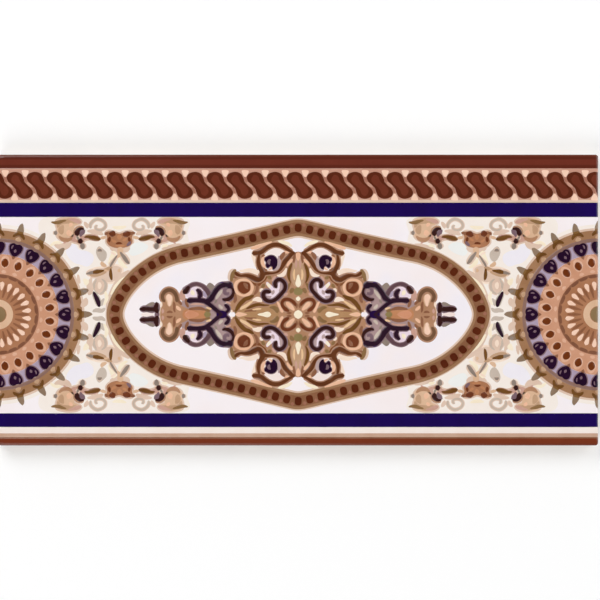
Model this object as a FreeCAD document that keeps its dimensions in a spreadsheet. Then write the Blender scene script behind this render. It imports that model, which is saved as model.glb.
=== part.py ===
# Victorian border tile: one dust-pressed, fired and glazed piece of ceramic.
# It lies face up, with its bed on z = 0 and its decorated glaze at the top.
# +X runs along the border, +Y towards the edge that carries the rope band.
import FreeCAD, Part

import os
import sys

import Sketcher

doc = FreeCAD.newDocument("border_tile")

# Driving dimensions, in millimetres and degrees
sheet = doc.addObject("Spreadsheet::Sheet", "sizes")
driving_dimensions = [
    ("tile_length", "200", "along the border, end to end"),
    ("tile_width", "97", "across the border, edge to edge"),
    ("tile_thickness", "7.5", "bed to glazed face"),
    ("corner_radius", "0.9", "plan corners, as pressed"),
    ("arris_radius", "0.6", "round of the glaze over the face's arris"),
    ("fettle", "0.5", "chamfer where the bed's arris is fettled"),
    ("key_margin", "4.5", "flat land round the keyed bed"),
    ("key_rib", "2.2", "rib between two key pockets, at the bed"),
    ("key_size", "11.4", "side that a key pocket aims at"),
    ("key_depth", "0.8", "depth of a key pocket"),
    ("key_draft", "30", "slope of a pocket's walls, so that the die lets go"),
]

# Worked out from them: how many pockets fit each way, and their real sides
derived_dimensions = [
    ("keys_along", "=round((tile_length - 2 * key_margin + key_rib) / (key_size + key_rib))", ""),
    ("keys_across", "=round((tile_width - 2 * key_margin + key_rib) / (key_size + key_rib))", ""),
    ("key_length", "=(tile_length - 2 * key_margin + key_rib) / keys_along - key_rib", ""),
    ("key_width", "=(tile_width - 2 * key_margin + key_rib) / keys_across - key_rib", ""),
]
for row, (alias, value, meaning) in enumerate(driving_dimensions + derived_dimensions, start=1):
    sheet.set(f"A{row}", alias)
    sheet.set(f"B{row}", value)
    sheet.set(f"C{row}", meaning)
    sheet.setAlias(f"B{row}", alias)
doc.recompute()


def origin_feature(body, role):
    """The body's own plane or axis that has this role."""
    return next(f for f in body.Origin.OriginFeatures if f.Role == role)


def rectangle_on_bed(body, name, length, width, left, near):
    """A rectangle on the plane of the bed: its two sides, and its left and near edges from the centre."""
    sketch = body.newObject("Sketcher::SketchObject", name)
    sketch.AttachmentSupport = [(origin_feature(body, "XY_Plane"), "")]
    sketch.MapMode = "FlatFace"
    start = [FreeCAD.Vector(*corner, 0) for corner in ((-2, -1), (2, -1), (2, 1), (-2, 1))]
    near_side, right_side, far_side, left_side = range(4)
    for side in range(4):
        sketch.addGeometry(Part.LineSegment(start[side], start[(side + 1) % 4]), False)
    for side in range(4):
        sketch.addConstraint(Sketcher.Constraint("Coincident", side, 2, (side + 1) % 4, 1))
    for side in (near_side, far_side):
        sketch.addConstraint(Sketcher.Constraint("Horizontal", side))
    for side in (right_side, left_side):
        sketch.addConstraint(Sketcher.Constraint("Vertical", side))
    origin = (-1, 1)
    measures = [
        ("length", "DistanceX", (near_side, 1), (near_side, 2), 4, length),
        ("width", "DistanceY", (right_side, 1), (right_side, 2), 2, width),
        ("left", "DistanceX", (near_side, 1), origin, 2, left),
        ("near", "DistanceY", (near_side, 1), origin, 1, near),
    ]
    for measure, kind, first, second, starting_value, expression in measures:
        index = sketch.addConstraint(Sketcher.Constraint(kind, *first, *second, starting_value))
        sketch.renameConstraint(index, measure)
        sketch.setExpression(f"Constraints.{measure}", expression)
    return sketch


def level_face(feature, height):
    """The name of the feature's level face at this height."""
    for number, face in enumerate(feature.Shape.Faces, start=1):
        box = face.BoundBox
        if box.ZLength < 1e-6 and abs(box.ZMin - height) < 1e-6:
            return f"Face{number}"
    raise RuntimeError(f"{feature.Label} has no level face at {height} mm")


def upright_edges(feature):
    """The names of the feature's edges that stand upright."""
    edges = enumerate(feature.Shape.Edges, start=1)
    return [f"Edge{n}" for n, e in edges if e.BoundBox.XLength < 1e-6 and e.BoundBox.YLength < 1e-6]


def press_blank(body):
    """The plain blank as it leaves the die, with its four plan corners rounded."""
    outline = rectangle_on_bed(
        body,
        "outline",
        "sizes.tile_length",
        "sizes.tile_width",
        left="sizes.tile_length / 2",
        near="sizes.tile_width / 2",
    )
    blank = body.newObject("PartDesign::Pad", "blank")
    blank.Profile = outline
    blank.setExpression("Length", "sizes.tile_thickness")
    doc.recompute()
    plan_corners = body.newObject("PartDesign::Fillet", "plan_corners")
    plan_corners.Base = (blank, upright_edges(blank))
    plan_corners.setExpression("Radius", "sizes.corner_radius")
    doc.recompute()
    return plan_corners


def finish_arrises(body, blank):
    """The glaze's round arris all round the face, and the fettled arris all round the bed."""
    glazed_arris = body.newObject("PartDesign::Fillet", "glazed_arris")
    glazed_arris.Base = (blank, [level_face(blank, float(sheet.tile_thickness))])
    glazed_arris.setExpression("Radius", "sizes.arris_radius")
    doc.recompute()
    fettled_arris = body.newObject("PartDesign::Chamfer", "fettled_arris")
    fettled_arris.Base = (glazed_arris, [level_face(glazed_arris, 0.0)])
    fettled_arris.setExpression("Size", "sizes.fettle")
    doc.recompute()
    return fettled_arris


def press_keys(body):
    """The drafted pockets in the bed that the adhesive keys into."""
    key_outline = rectangle_on_bed(
        body,
        "key_outline",
        "sizes.key_length",
        "sizes.key_width",
        left="sizes.tile_length / 2 - sizes.key_margin",
        near="sizes.tile_width / 2 - sizes.key_margin",
    )
    key = body.newObject("PartDesign::Pocket", "key")
    key.Profile = key_outline
    key.Reversed = True  # up into the tile, away from the bed
    key.setExpression("Length", "sizes.key_depth")
    key.setExpression("TaperAngle", "-sizes.key_draft")
    doc.recompute()

    keys = body.newObject("PartDesign::LinearPattern", "keys")
    keys.Originals = [key]
    keys.Direction = (origin_feature(body, "X_Axis"), [""])
    keys.Mode = "Spacing"
    keys.setExpression("Offset", "sizes.key_length + sizes.key_rib")
    keys.setExpression("Occurrences", "sizes.keys_along")
    keys.Direction2 = (origin_feature(body, "Y_Axis"), [""])
    keys.Mode2 = "Spacing"
    keys.setExpression("Offset2", "sizes.key_width + sizes.key_rib")
    keys.setExpression("Occurrences2", "sizes.keys_across")
    no_own_spacing = [-1.0] * (int(sheet.keys_across) - 1)
    keys.Spacings2 = no_own_spacing  # every row follows Offset2
    body.Tip = keys
    doc.recompute()
    return keys


tile = doc.addObject("PartDesign::Body", "border_tile")
tile.Label = "border_tile"
plain = finish_arrises(tile, press_blank(tile))
keyed = press_keys(tile)

failed = [o.Label for o in doc.Objects if "Invalid" in o.State or "Error" in o.State]
if failed:
    sys.exit(f"these objects failed: {failed}")
if tile.Shape.isNull() or not tile.Shape.isValid():
    sys.exit("border_tile has no valid shape")
one_key = plain.Shape.Volume - doc.key.Shape.Volume
all_keys = plain.Shape.Volume - keyed.Shape.Volume
print(f"border_tile: {tile.Shape.Volume / 1000:.2f} cm3, {all_keys / one_key:.1f} keys in its bed")

os.makedirs("parts", exist_ok=True)
tile.Shape.exportStep(f"parts/{tile.Label}.step")
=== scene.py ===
import math

import bmesh
import bpy
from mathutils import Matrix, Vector


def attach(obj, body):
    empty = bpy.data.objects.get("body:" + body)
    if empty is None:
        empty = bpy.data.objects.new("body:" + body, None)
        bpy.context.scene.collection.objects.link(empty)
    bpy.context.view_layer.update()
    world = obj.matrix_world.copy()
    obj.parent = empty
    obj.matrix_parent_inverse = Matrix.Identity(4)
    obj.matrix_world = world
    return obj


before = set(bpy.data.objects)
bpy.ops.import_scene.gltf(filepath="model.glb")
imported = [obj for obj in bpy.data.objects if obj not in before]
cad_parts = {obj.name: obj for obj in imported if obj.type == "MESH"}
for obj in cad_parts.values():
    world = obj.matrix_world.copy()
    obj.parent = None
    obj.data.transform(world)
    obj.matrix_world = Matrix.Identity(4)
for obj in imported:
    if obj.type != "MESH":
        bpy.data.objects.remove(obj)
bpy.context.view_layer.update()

mm = 0.001

# The tile as it is pressed, in millimetres, face up with its bed on z = 0
tile = {
    "length": 200.0,
    "width": 97.0,
    "thickness": 7.5,
    "arris": 0.6,        # round between the face and the sides
    "corner": 0.9,       # round of the corners in plan
    "printEdge": 0.07,   # the printed enamel stops this far inside the outline
    "bite": 0.012,       # how far an enamel's underside sits in the glaze
    "arrisCuts": (0.4, 0.2, 0.0),   # where a print bends over the arris, past the flat face
}
faceEnd = tile["length"] / 2 - tile["arris"]
printEnd = tile["length"] / 2 - tile["printEdge"]
ornamentY = -4.8         # the ornament's long axis, below the middle of the face
quarter = (True, True)   # drawn once, mirrored to both ends and both edges
sideways = (True, False)
upright = (False, True)
drawnWhole = (False, False)


def paint(red, green, blue):
    # a colour as a painter reads it off the tile, made linear
    channels = [value / 255 for value in (red, green, blue)]
    return tuple(c / 12.92 if c <= 0.04045 else ((c + 0.055) / 1.055) ** 2.4 for c in channels) + (1.0,)


def addNode(tree, kind, inputs=None, **settings):
    # an input is a plain value, or the output socket that feeds it
    made = tree.nodes.new(kind)
    for setting, value in settings.items():
        setattr(made, setting, value)
    for key, value in (inputs or {}).items():
        if isinstance(value, bpy.types.NodeSocket):
            tree.links.new(value, made.inputs[key])
        else:
            made.inputs[key].default_value = value
    return made


def calculate(tree, operation, first, second=0.0, clamp=False):
    inputs = {0: first, 1: second}
    return addNode(tree, "ShaderNodeMath", inputs, operation=operation, use_clamp=clamp).outputs[0]


def blendColours(tree, factor, first, second):
    # sockets of the Mix node's colour side: 0 factor, 6 and 7 colours
    return addNode(tree, "ShaderNodeMix", {0: factor, 6: first, 7: second}, data_type="RGBA").outputs[2]


def noiseAt(tree, where, grain, detail=2.0):
    # grain is the size of a patch in millimetres
    inputs = {"Vector": where, "Scale": 1 / (grain * mm), "Detail": detail}
    return addNode(tree, "ShaderNodeTexNoise", inputs).outputs["Fac"]


def spread(tree, value, fromLow, fromHigh, toLow=0.0, toHigh=1.0):
    inputs = {0: value, 1: fromLow, 2: fromHigh, 3: toLow, 4: toHigh}
    return addNode(tree, "ShaderNodeMapRange", inputs).outputs[0]


def patchMask(tree, where, patch):
    # a patch is its size in millimetres, its detail, the noise's span and the greatest share
    size, detail, low, high, share = patch
    return spread(tree, noiseAt(tree, where, size, detail), low, high, 0.0, share)


def startMaterial(name):
    material = bpy.data.materials.new(name)
    material.use_nodes = True
    tree = material.node_tree
    shader = tree.nodes["Principled BSDF"]
    where = addNode(tree, "ShaderNodeTexCoord").outputs["Object"]
    return material, tree, shader, where


def addBump(tree, shader, strength, depth, height):
    bumpInputs = {"Strength": strength, "Distance": depth * mm, "Height": height}
    tree.links.new(addNode(tree, "ShaderNodeBump", bumpInputs).outputs[0], shader.inputs["Normal"])


# Fired enamel: pools a little darker, is speckled by the screen, and ripples like glass
enamelLook = {
    "poolSize": 5.0,
    "poolSpan": (0.40, 0.68),
    "poolDepth": 0.45,
    "specks": (0.22, 1, 0.52, 0.72, 0.30),
    "roughSpan": (0.3, 0.7),
    "roughness": (0.10, 0.18),
    "rippleSize": 1.6,
    "rippleHeight": 0.02,
    "rippleStrength": 0.35,
}


def enamelMaterial(name, colour, pooled, edges=None):
    material, tree, shader, where = startMaterial(name)
    pool = noiseAt(tree, where, enamelLook["poolSize"], 3)
    poolMask = spread(tree, pool, *enamelLook["poolSpan"], 0.0, enamelLook["poolDepth"])
    mixed = blendColours(tree, poolMask, paint(*colour), paint(*pooled))
    mixed = blendColours(tree, patchMask(tree, where, enamelLook["specks"]), mixed, paint(*pooled))
    if edges:
        # the enamel is darker from some distance off the band's middle line
        across = addNode(tree, "ShaderNodeSeparateXYZ", {0: where}).outputs["Y"]
        offMiddle = calculate(tree, "ABSOLUTE", calculate(tree, "SUBTRACT", across, edges["middle"] * mm))
        edgeMask = spread(tree, offMiddle, edges["from"] * mm, edges["to"] * mm, 0.0, edges["depth"])
        mixed = blendColours(tree, edgeMask, mixed, paint(*edges["colour"]))
    tree.links.new(mixed, shader.inputs["Base Color"])
    rough = spread(tree, pool, *enamelLook["roughSpan"], *enamelLook["roughness"])
    tree.links.new(rough, shader.inputs["Roughness"])
    ripples = noiseAt(tree, where, enamelLook["rippleSize"])
    addBump(tree, shader, enamelLook["rippleStrength"], enamelLook["rippleHeight"], ripples)
    return material


# The body: white glaze on the face, running a little over the arris, then bare biscuit
bodyLook = {
    "glaze": (254, 246, 248),
    "blush": (253, 241, 240),
    "cool": (246, 242, 251),
    "overrunBrown": (112, 52, 34),
    "biscuit": (222, 205, 182),
    "biscuitDark": (196, 173, 146),
    "speck": (120, 88, 64),
    "glazeFoot": 6.0,      # height that the glaze runs down to
    "glazeRun": 0.9,       # how unevenly it stops
    "runSize": 5.0,
    "footBlend": 0.1,
    "brownTop": 43.9,      # brown past here, as far as the sides
    "brownBottom": -46.1,
    "brownBlend": 0.05,
    "warmPatches": (26, 2, 0.42, 0.66, 0.75),
    "coolPatches": (17, 2, 0.52, 0.72, 0.6),
    "pinholes": (0.5, 1, 0.80, 0.86, 0.35),
    "stains": (9, 4, 0.35, 0.7, 0.8),
    "grit": (0.7, 1, 0.68, 0.74, 0.7),
    "noiseSpan": (0.3, 0.7),
    "sheenSize": 12.0,
    "glazeRoughness": (0.10, 0.17),
    "biscuitRoughness": 0.86,
    "grainSize": 0.35,
    "rippleSize": 7.0,
    "bumpStrength": 0.5,
    "bumpHeight": 0.05,
}


def bodyMaterial():
    look = bodyLook
    material, tree, shader, where = startMaterial("glazed_body")
    axes = addNode(tree, "ShaderNodeSeparateXYZ", {0: where}).outputs
    warm = patchMask(tree, where, look["warmPatches"])
    cool = patchMask(tree, where, look["coolPatches"])
    glaze = blendColours(tree, warm, paint(*look["glaze"]), paint(*look["blush"]))
    glaze = blendColours(tree, cool, glaze, paint(*look["cool"]))
    glaze = blendColours(tree, patchMask(tree, where, look["pinholes"]), glaze, paint(*look["speck"]))
    top, foot, blend = look["brownTop"], look["brownBottom"], look["brownBlend"]
    overTop = spread(tree, axes["Y"], (top - blend) * mm, (top + blend) * mm)
    overFoot = spread(tree, axes["Y"], (foot + blend) * mm, (foot - blend) * mm)
    brown = calculate(tree, "MAXIMUM", overTop, overFoot)
    glaze = blendColours(tree, brown, glaze, paint(*look["overrunBrown"]))
    stains = patchMask(tree, where, look["stains"])
    biscuit = blendColours(tree, stains, paint(*look["biscuit"]), paint(*look["biscuitDark"]))
    biscuit = blendColours(tree, patchMask(tree, where, look["grit"]), biscuit, paint(*look["speck"]))
    uneven = look["glazeRun"] * mm
    run = spread(tree, noiseAt(tree, where, look["runSize"]), *look["noiseSpan"], -uneven, uneven)
    edge = calculate(tree, "SUBTRACT", axes["Z"], run)
    foot, blend = look["glazeFoot"], look["footBlend"]
    glazed = spread(tree, edge, (foot - blend) * mm, (foot + blend) * mm)
    tree.links.new(blendColours(tree, glazed, biscuit, glaze), shader.inputs["Base Color"])
    sheen = noiseAt(tree, where, look["sheenSize"])
    glassy = spread(tree, sheen, *look["noiseSpan"], *look["glazeRoughness"])
    rough = addNode(tree, "ShaderNodeMix", {0: glazed, 2: look["biscuitRoughness"], 3: glassy}).outputs[0]
    tree.links.new(rough, shader.inputs["Roughness"])
    grain = noiseAt(tree, where, look["grainSize"], 3)
    ripple = noiseAt(tree, where, look["rippleSize"], 1)
    height = addNode(tree, "ShaderNodeMix", {0: glazed, 2: grain, 3: ripple}).outputs[0]
    addBump(tree, shader, look["bumpStrength"], look["bumpHeight"], height)
    return material


# One colour of enamel for each screen that prints the face, under its slot: the colour, and where it pools
palette = {
    "brown_enamel": {
        "brown": ((114, 50, 36), (104, 42, 29)),
        "footBrown": ((124, 55, 31), (110, 47, 26)),
        "link": ((96, 42, 24), (82, 32, 16)),
        "linkHeart": ((116, 54, 37), (104, 44, 28)),
        "line": ((106, 60, 34), (82, 38, 16)),
        "tawny": ((134, 82, 51), (114, 62, 34)),
        "softLine": ((148, 100, 74), (126, 78, 54)),
        "darkLine": ((122, 88, 64), (98, 66, 46)),
        "ringBrown": ((134, 88, 66), (112, 68, 48)),
        "siennaRay": ((148, 98, 70), (130, 82, 56)),
        "oliveLine": ((118, 78, 38), (92, 54, 18)),
        "rust": ((118, 62, 38), (92, 42, 22)),
        "seed": ((116, 56, 22), (94, 36, 8)),
        "bead": ((94, 40, 18), (74, 24, 8)),
        "umber": ((60, 30, 28), (42, 16, 16)),
    },
    "navy_enamel": {
        "navy": ((28, 7, 84), (22, 2, 66)),
        "scroll": ((40, 14, 66), (26, 6, 48)),
        "arm": ((50, 26, 42), (30, 10, 28)),
        "plum": ((40, 12, 42), (24, 4, 26)),
        "violet": ((82, 60, 108), (64, 40, 86)),
        "archLine": ((104, 76, 82), (82, 56, 62)),
        "mauve": ((130, 104, 112), (108, 80, 92)),
        "mauveHaze": ((176, 148, 146), (152, 124, 124)),
        "slate": ((152, 136, 124), (128, 112, 102)),
        "lavender": ((182, 164, 184), (158, 140, 162)),
        "runCool": ((142, 114, 120), (122, 92, 100)),
    },
    "salmon_enamel": {
        "salmon": ((206, 156, 136), (192, 138, 116)),
        "gap": ((178, 122, 102), (160, 100, 80)),
        "ringSalmon": ((212, 157, 127), (198, 138, 104)),
        "ringLight": ((228, 180, 152), (216, 162, 132)),
        "spindle": ((214, 150, 116), (198, 130, 94)),
        "peach": ((242, 194, 162), (232, 174, 138)),
        "brightPeach": ((252, 214, 190), (244, 198, 170)),
        "blush": ((252, 230, 211), (246, 214, 190)),
        "pink": ((251, 236, 230), (246, 218, 210)),
        "coral": ((198, 138, 98), (180, 116, 76)),
        "rose": ((208, 164, 148), (190, 142, 124)),
        "runWarm": ((182, 138, 110), (162, 116, 90)),
        "runPale": ((230, 202, 182), (216, 184, 162)),
        "haze": ((192, 166, 164), (170, 142, 142)),
    },
    "ochre_enamel": {
        "spike": ((150, 126, 104), (128, 104, 82)),
        "band": ((146, 100, 72), (124, 80, 52)),
        "cap": ((136, 98, 56), (112, 74, 34)),
        "rimEdge": ((146, 112, 100), (126, 94, 82)),
        "bandSpot": ((164, 112, 90), (144, 92, 70)),
        "sienna": ((180, 126, 92), (160, 104, 70)),
        "core": ((146, 120, 86), (124, 98, 62)),
        "bandEdge": ((164, 124, 92), (140, 102, 66)),
        "footLine": ((206, 170, 148), (194, 150, 124)),
        "ground": ((186, 140, 108), (164, 116, 82)),
        "leaf": ((184, 142, 102), (164, 118, 76)),
        "paleLeaf": ((200, 162, 130), (182, 140, 106)),
        "rim": ((169, 126, 92), (148, 105, 70)),
        "khaki": ((146, 112, 74), (122, 88, 50)),
        "olive": ((148, 130, 86), (124, 104, 60)),
        "gold": ((240, 202, 160), (228, 182, 132)),
        "sand": ((226, 188, 156), (212, 168, 132)),
        "beige": ((208, 192, 178), (190, 172, 158)),
        "greyLine": ((206, 188, 172), (186, 166, 150)),
    },
    "white_glaze": {
        "lilac": ((243, 224, 233), (230, 206, 220)),
        "frost": ((247, 242, 248), (242, 236, 245)),
        "mist": ((246, 246, 243), (242, 242, 238)),
        "creamWash": ((252, 242, 233), (249, 236, 225)),
        "cream": ((254, 240, 214), (248, 228, 196)),
        "creamBand": ((251, 239, 231), (246, 229, 218)),
    },
}
# the upper brown band lies thicker along its two edges
thickEdges = {"brown": {"middle": 45.95, "from": 0.7, "to": 1.15, "depth": 0.65, "colour": (84, 34, 20)}}
finishes = {}
for slotName, shades in palette.items():
    for screen, (colour, pooled) in shades.items():
        finishes[screen] = enamelMaterial("enamel_" + screen, colour, pooled, thickEdges.get(screen))
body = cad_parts["border_tile"]
body.data.materials.clear()
body.data.materials.append(bodyMaterial())
print("finishes mixed:", len(finishes) + 1)


def outlineDistance(x, y):
    # how far a point on the face is inside the tile's outline, in metres
    fromX = abs(x) - (tile["length"] / 2 - tile["corner"]) * mm
    fromY = abs(y) - (tile["width"] / 2 - tile["corner"]) * mm
    outside = math.hypot(max(fromX, 0.0), max(fromY, 0.0))
    return tile["corner"] * mm - outside - min(max(fromX, fromY), 0.0)


def arrisDrop(x, y):
    # how far the rounded arris lies below the face there
    radius = tile["arris"] * mm
    over = radius - outlineDistance(x, y)
    if over <= 0:
        return 0.0
    return radius - math.sqrt(max(radius * radius - over * over, 0.0))


# How a piece's mesh is cleaned, in millimetres and degrees
meshing = {
    "onPlane": 0.0001,     # as near as this a point lies on a cut
    "weld": 0.0005,        # points this close become one
    "sliver": 0.0002,      # edges shorter than this go
    "crease": 42,          # a sharper bend than this shows as an edge
}


def trimToTile(shape):
    # cut what runs past the tile's ends, then give the arris a few cuts to bend on
    cuts = [printEnd] + [faceEnd + past for past in tile["arrisCuts"]]
    for side in (-1, 1):
        for at in cuts:
            everything = shape.verts[:] + shape.edges[:] + shape.faces[:]
            cut = bmesh.ops.bisect_plane(shape, geom=everything, dist=meshing["onPlane"] * mm,
                                         plane_co=(side * at * mm, 0, 0), plane_no=(side, 0, 0),
                                         clear_outer=(at == printEnd))
            if at == printEnd:
                rim = [item for item in cut["geom_cut"] if isinstance(item, bmesh.types.BMEdge)]
                if rim:
                    bmesh.ops.holes_fill(shape, edges=rim, sides=0)


def placePiece(name, mesh, screen, trim=False):
    # doubles first, then normals; what reaches an edge is bent over the arris
    shape = bmesh.new()
    shape.from_mesh(mesh)
    bmesh.ops.remove_doubles(shape, verts=shape.verts, dist=meshing["weld"] * mm)
    bmesh.ops.dissolve_degenerate(shape, edges=shape.edges, dist=meshing["sliver"] * mm)
    if trim:
        trimToTile(shape)
    for vert in shape.verts:
        vert.co.z -= arrisDrop(vert.co.x, vert.co.y)
    bmesh.ops.recalc_face_normals(shape, faces=shape.faces)
    for face in shape.faces:
        face.smooth = True
        face.material_index = 0
    shape.to_mesh(mesh)
    shape.free()
    mesh.set_sharp_from_angle(angle=math.radians(meshing["crease"]))
    mesh.materials.clear()
    mesh.materials.append(finishes[screen])
    piece = bpy.data.objects.new(name, mesh)
    bpy.context.scene.collection.objects.link(piece)
    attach(piece, "root")


def drawCurves(name, paths, closed):
    # a path is a list of (x, y, width) in millimetres; a fill's points have no width
    data = bpy.data.curves.new(name, "CURVE")
    data.dimensions = "3D"
    for path in paths:
        spline = data.splines.new("POLY")
        spline.points.add(len(path) - 1)
        for point, spot in zip(spline.points, path):
            point.co = (spot[0] * mm, spot[1] * mm, 0, 1)
            point.radius = (spot[2] if len(spot) > 2 else 1) * mm / 2
        spline.use_cyclic_u = closed
    carrier = bpy.data.objects.new(name + "_drawn", data)
    bpy.context.scene.collection.objects.link(carrier)
    return carrier


def startTree(name, sizes):
    # named inputs for the sizes, so that each can be changed on the modifier
    tree = bpy.data.node_groups.new(name, "GeometryNodeTree")
    tree.interface.new_socket("Geometry", in_out="INPUT", socket_type="NodeSocketGeometry")
    tree.interface.new_socket("Geometry", in_out="OUTPUT", socket_type="NodeSocketGeometry")
    for label, value in sizes.items():
        kind = {int: "NodeSocketInt", float: "NodeSocketFloat"}.get(type(value), "NodeSocketObject")
        tree.interface.new_socket(label, in_out="INPUT", socket_type=kind)
    return tree, addNode(tree, "NodeGroupInput").outputs


def setSizes(modifier, sizes):
    for item in modifier.node_group.interface.items_tree:
        if item.in_out == "INPUT" and item.name in sizes:
            modifier[item.identifier] = sizes[item.name]


def smoothSpline(tree, drawn):
    return addNode(tree, "GeometryNodeCurveSplineType", {0: drawn}, spline_type="CATMULL_ROM").outputs[0]


# The brush that draws the lines, in millimetres
brush = {
    "arcPoints": 7,          # points across its domed top
    "leastRadius": 0.01,
    "leastWidth": 0.02,
    "rimHeight": 0.001,      # what lies below this is the rim
    "pathStep": 0.5,         # how finely a line that carries copies is measured
}


def lineShape(tree, inputs, smooth):
    # a brush line: round ends, a low domed top, its rim drawn down into the glaze
    along = addNode(tree, "GeometryNodeSplineParameter").outputs["Length"]
    whole = addNode(tree, "GeometryNodeSplineLength").outputs["Length"]
    radius = addNode(tree, "GeometryNodeInputRadius").outputs[0]
    cyclic = addNode(tree, "GeometryNodeInputSplineCyclic").outputs[0]
    nearest = calculate(tree, "MINIMUM", along, calculate(tree, "SUBTRACT", whole, along))
    endRadius = calculate(tree, "MAXIMUM", radius, brush["leastRadius"] * mm)
    share = calculate(tree, "DIVIDE", nearest, endRadius, clamp=True)
    rounding = calculate(tree, "MULTIPLY", share, calculate(tree, "SUBTRACT", 2.0, share))
    rounding = calculate(tree, "MAXIMUM", calculate(tree, "SQRT", rounding), cyclic)
    width = calculate(tree, "MULTIPLY", radius, rounding)
    width = calculate(tree, "MAXIMUM", width, brush["leastWidth"] * mm)
    steady = addNode(tree, "GeometryNodeSetCurveNormal", {0: smooth}, mode="Z_UP").outputs[0]
    arcInputs = {"Resolution": brush["arcPoints"], "Radius": 1.0, "Sweep Angle": math.pi,
                 "Connect Center": True}
    arc = addNode(tree, "GeometryNodeCurveArc", arcInputs, mode="RADIUS").outputs[0]
    sweepInputs = {"Curve": steady, "Profile Curve": arc, "Scale": width, "Fill Caps": True}
    swept = addNode(tree, "GeometryNodeCurveToMesh", sweepInputs).outputs[0]
    spot = addNode(tree, "GeometryNodeInputPosition").outputs[0]
    axes = addNode(tree, "ShaderNodeSeparateXYZ", {0: spot}).outputs
    height = calculate(tree, "ABSOLUTE", axes["Z"])
    isRim = calculate(tree, "LESS_THAN", height, brush["rimHeight"] * mm)
    risen = calculate(tree, "ADD", inputs["Level"], calculate(tree, "MULTIPLY", height, inputs["Dome"]))
    sunk = calculate(tree, "MULTIPLY", isRim, calculate(tree, "ADD", risen, inputs["Bite"]))
    lifted = calculate(tree, "SUBTRACT", risen, sunk)
    placed = addNode(tree, "ShaderNodeCombineXYZ", {0: axes["X"], 1: axes["Y"], 2: lifted}).outputs[0]
    return addNode(tree, "GeometryNodeSetPosition", {"Geometry": swept, "Position": placed}).outputs[0]


def fillShape(tree, inputs, smooth):
    # a flat pool of enamel: each outline is filled by itself and given a thickness
    index = addNode(tree, "GeometryNodeInputIndex").outputs[0]
    filled = addNode(tree, "GeometryNodeFillCurve", {"Curve": smooth, "Group ID": index}).outputs[0]
    lift = calculate(tree, "ADD", inputs["Level"], inputs["Bite"])
    upwards = addNode(tree, "ShaderNodeCombineXYZ", {2: 1.0}).outputs[0]
    extrudeInputs = {"Mesh": filled, "Offset": upwards, "Offset Scale": lift, "Individual": False}
    raised = addNode(tree, "GeometryNodeExtrudeMesh", extrudeInputs, mode="FACES").outputs["Mesh"]
    underside = addNode(tree, "GeometryNodeFlipFaces", {0: filled}).outputs[0]
    joined = addNode(tree, "GeometryNodeJoinGeometry")
    tree.links.new(raised, joined.inputs[0])
    tree.links.new(underside, joined.inputs[0])
    sunk = calculate(tree, "MULTIPLY", inputs["Bite"], -1.0)
    down = addNode(tree, "ShaderNodeCombineXYZ", {2: sunk}).outputs[0]
    settling = {"Geometry": joined.outputs[0], "Offset": down}
    return addNode(tree, "GeometryNodeSetPosition", settling).outputs[0]


def repeatShape(tree, inputs, shape, kind):
    # "ring" turns copies round a centre, "row" sets them along the tile, "path" along a drawn line
    if kind == "path":
        drawn = addNode(tree, "GeometryNodeObjectInfo", {0: inputs["Path"]}).outputs["Geometry"]
        curved = smoothSpline(tree, drawn)
        denseInputs = {"Curve": curved, "Length": brush["pathStep"] * mm}
        dense = addNode(tree, "GeometryNodeResampleCurve", denseInputs, mode="LENGTH")
        spotInputs = {0: dense.outputs[0], "Count": inputs["Count"]}
        spots = addNode(tree, "GeometryNodeCurveToPoints", spotInputs, mode="COUNT").outputs
        heading = addNode(tree, "ShaderNodeSeparateXYZ", {0: spots["Tangent"]}).outputs
        turn = calculate(tree, "ARCTAN2", heading["Y"], heading["X"])
        points = spots["Points"]
    else:
        points = addNode(tree, "GeometryNodePoints", {"Count": inputs["Count"]}).outputs[0]
        index = addNode(tree, "GeometryNodeInputIndex").outputs[0]
    if kind == "ring":
        turn = calculate(tree, "DIVIDE", calculate(tree, "MULTIPLY", index, 2 * math.pi), inputs["Count"])
        turn = calculate(tree, "ADD", turn, inputs["First Angle"])
    if kind == "row":
        turn = 0.0
        step = calculate(tree, "ADD", calculate(tree, "MULTIPLY", index, inputs["Pitch"]), inputs["First"])
        spot = addNode(tree, "ShaderNodeCombineXYZ", {0: step}).outputs[0]
        points = addNode(tree, "GeometryNodeSetPosition", {"Geometry": points, "Position": spot}).outputs[0]
    spin = addNode(tree, "ShaderNodeCombineXYZ", {2: turn}).outputs[0]
    rotation = addNode(tree, "FunctionNodeEulerToRotation", {0: spin}).outputs[0]
    copyInputs = {"Points": points, "Instance": shape, "Rotation": rotation}
    copies = addNode(tree, "GeometryNodeInstanceOnPoints", copyInputs).outputs[0]
    if kind != "ring":
        return copies
    centre = addNode(tree, "ShaderNodeCombineXYZ", {0: inputs["Centre"]}).outputs[0]
    return addNode(tree, "GeometryNodeTransform", {"Geometry": copies, "Translation": centre}).outputs[0]


def mirrorShape(tree, shape, scale):
    flipped = addNode(tree, "GeometryNodeTransform", {"Geometry": shape, "Scale": scale}).outputs[0]
    joined = addNode(tree, "GeometryNodeJoinGeometry")
    tree.links.new(shape, joined.inputs[0])
    tree.links.new(flipped, joined.inputs[0])
    return joined.outputs[0]


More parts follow.
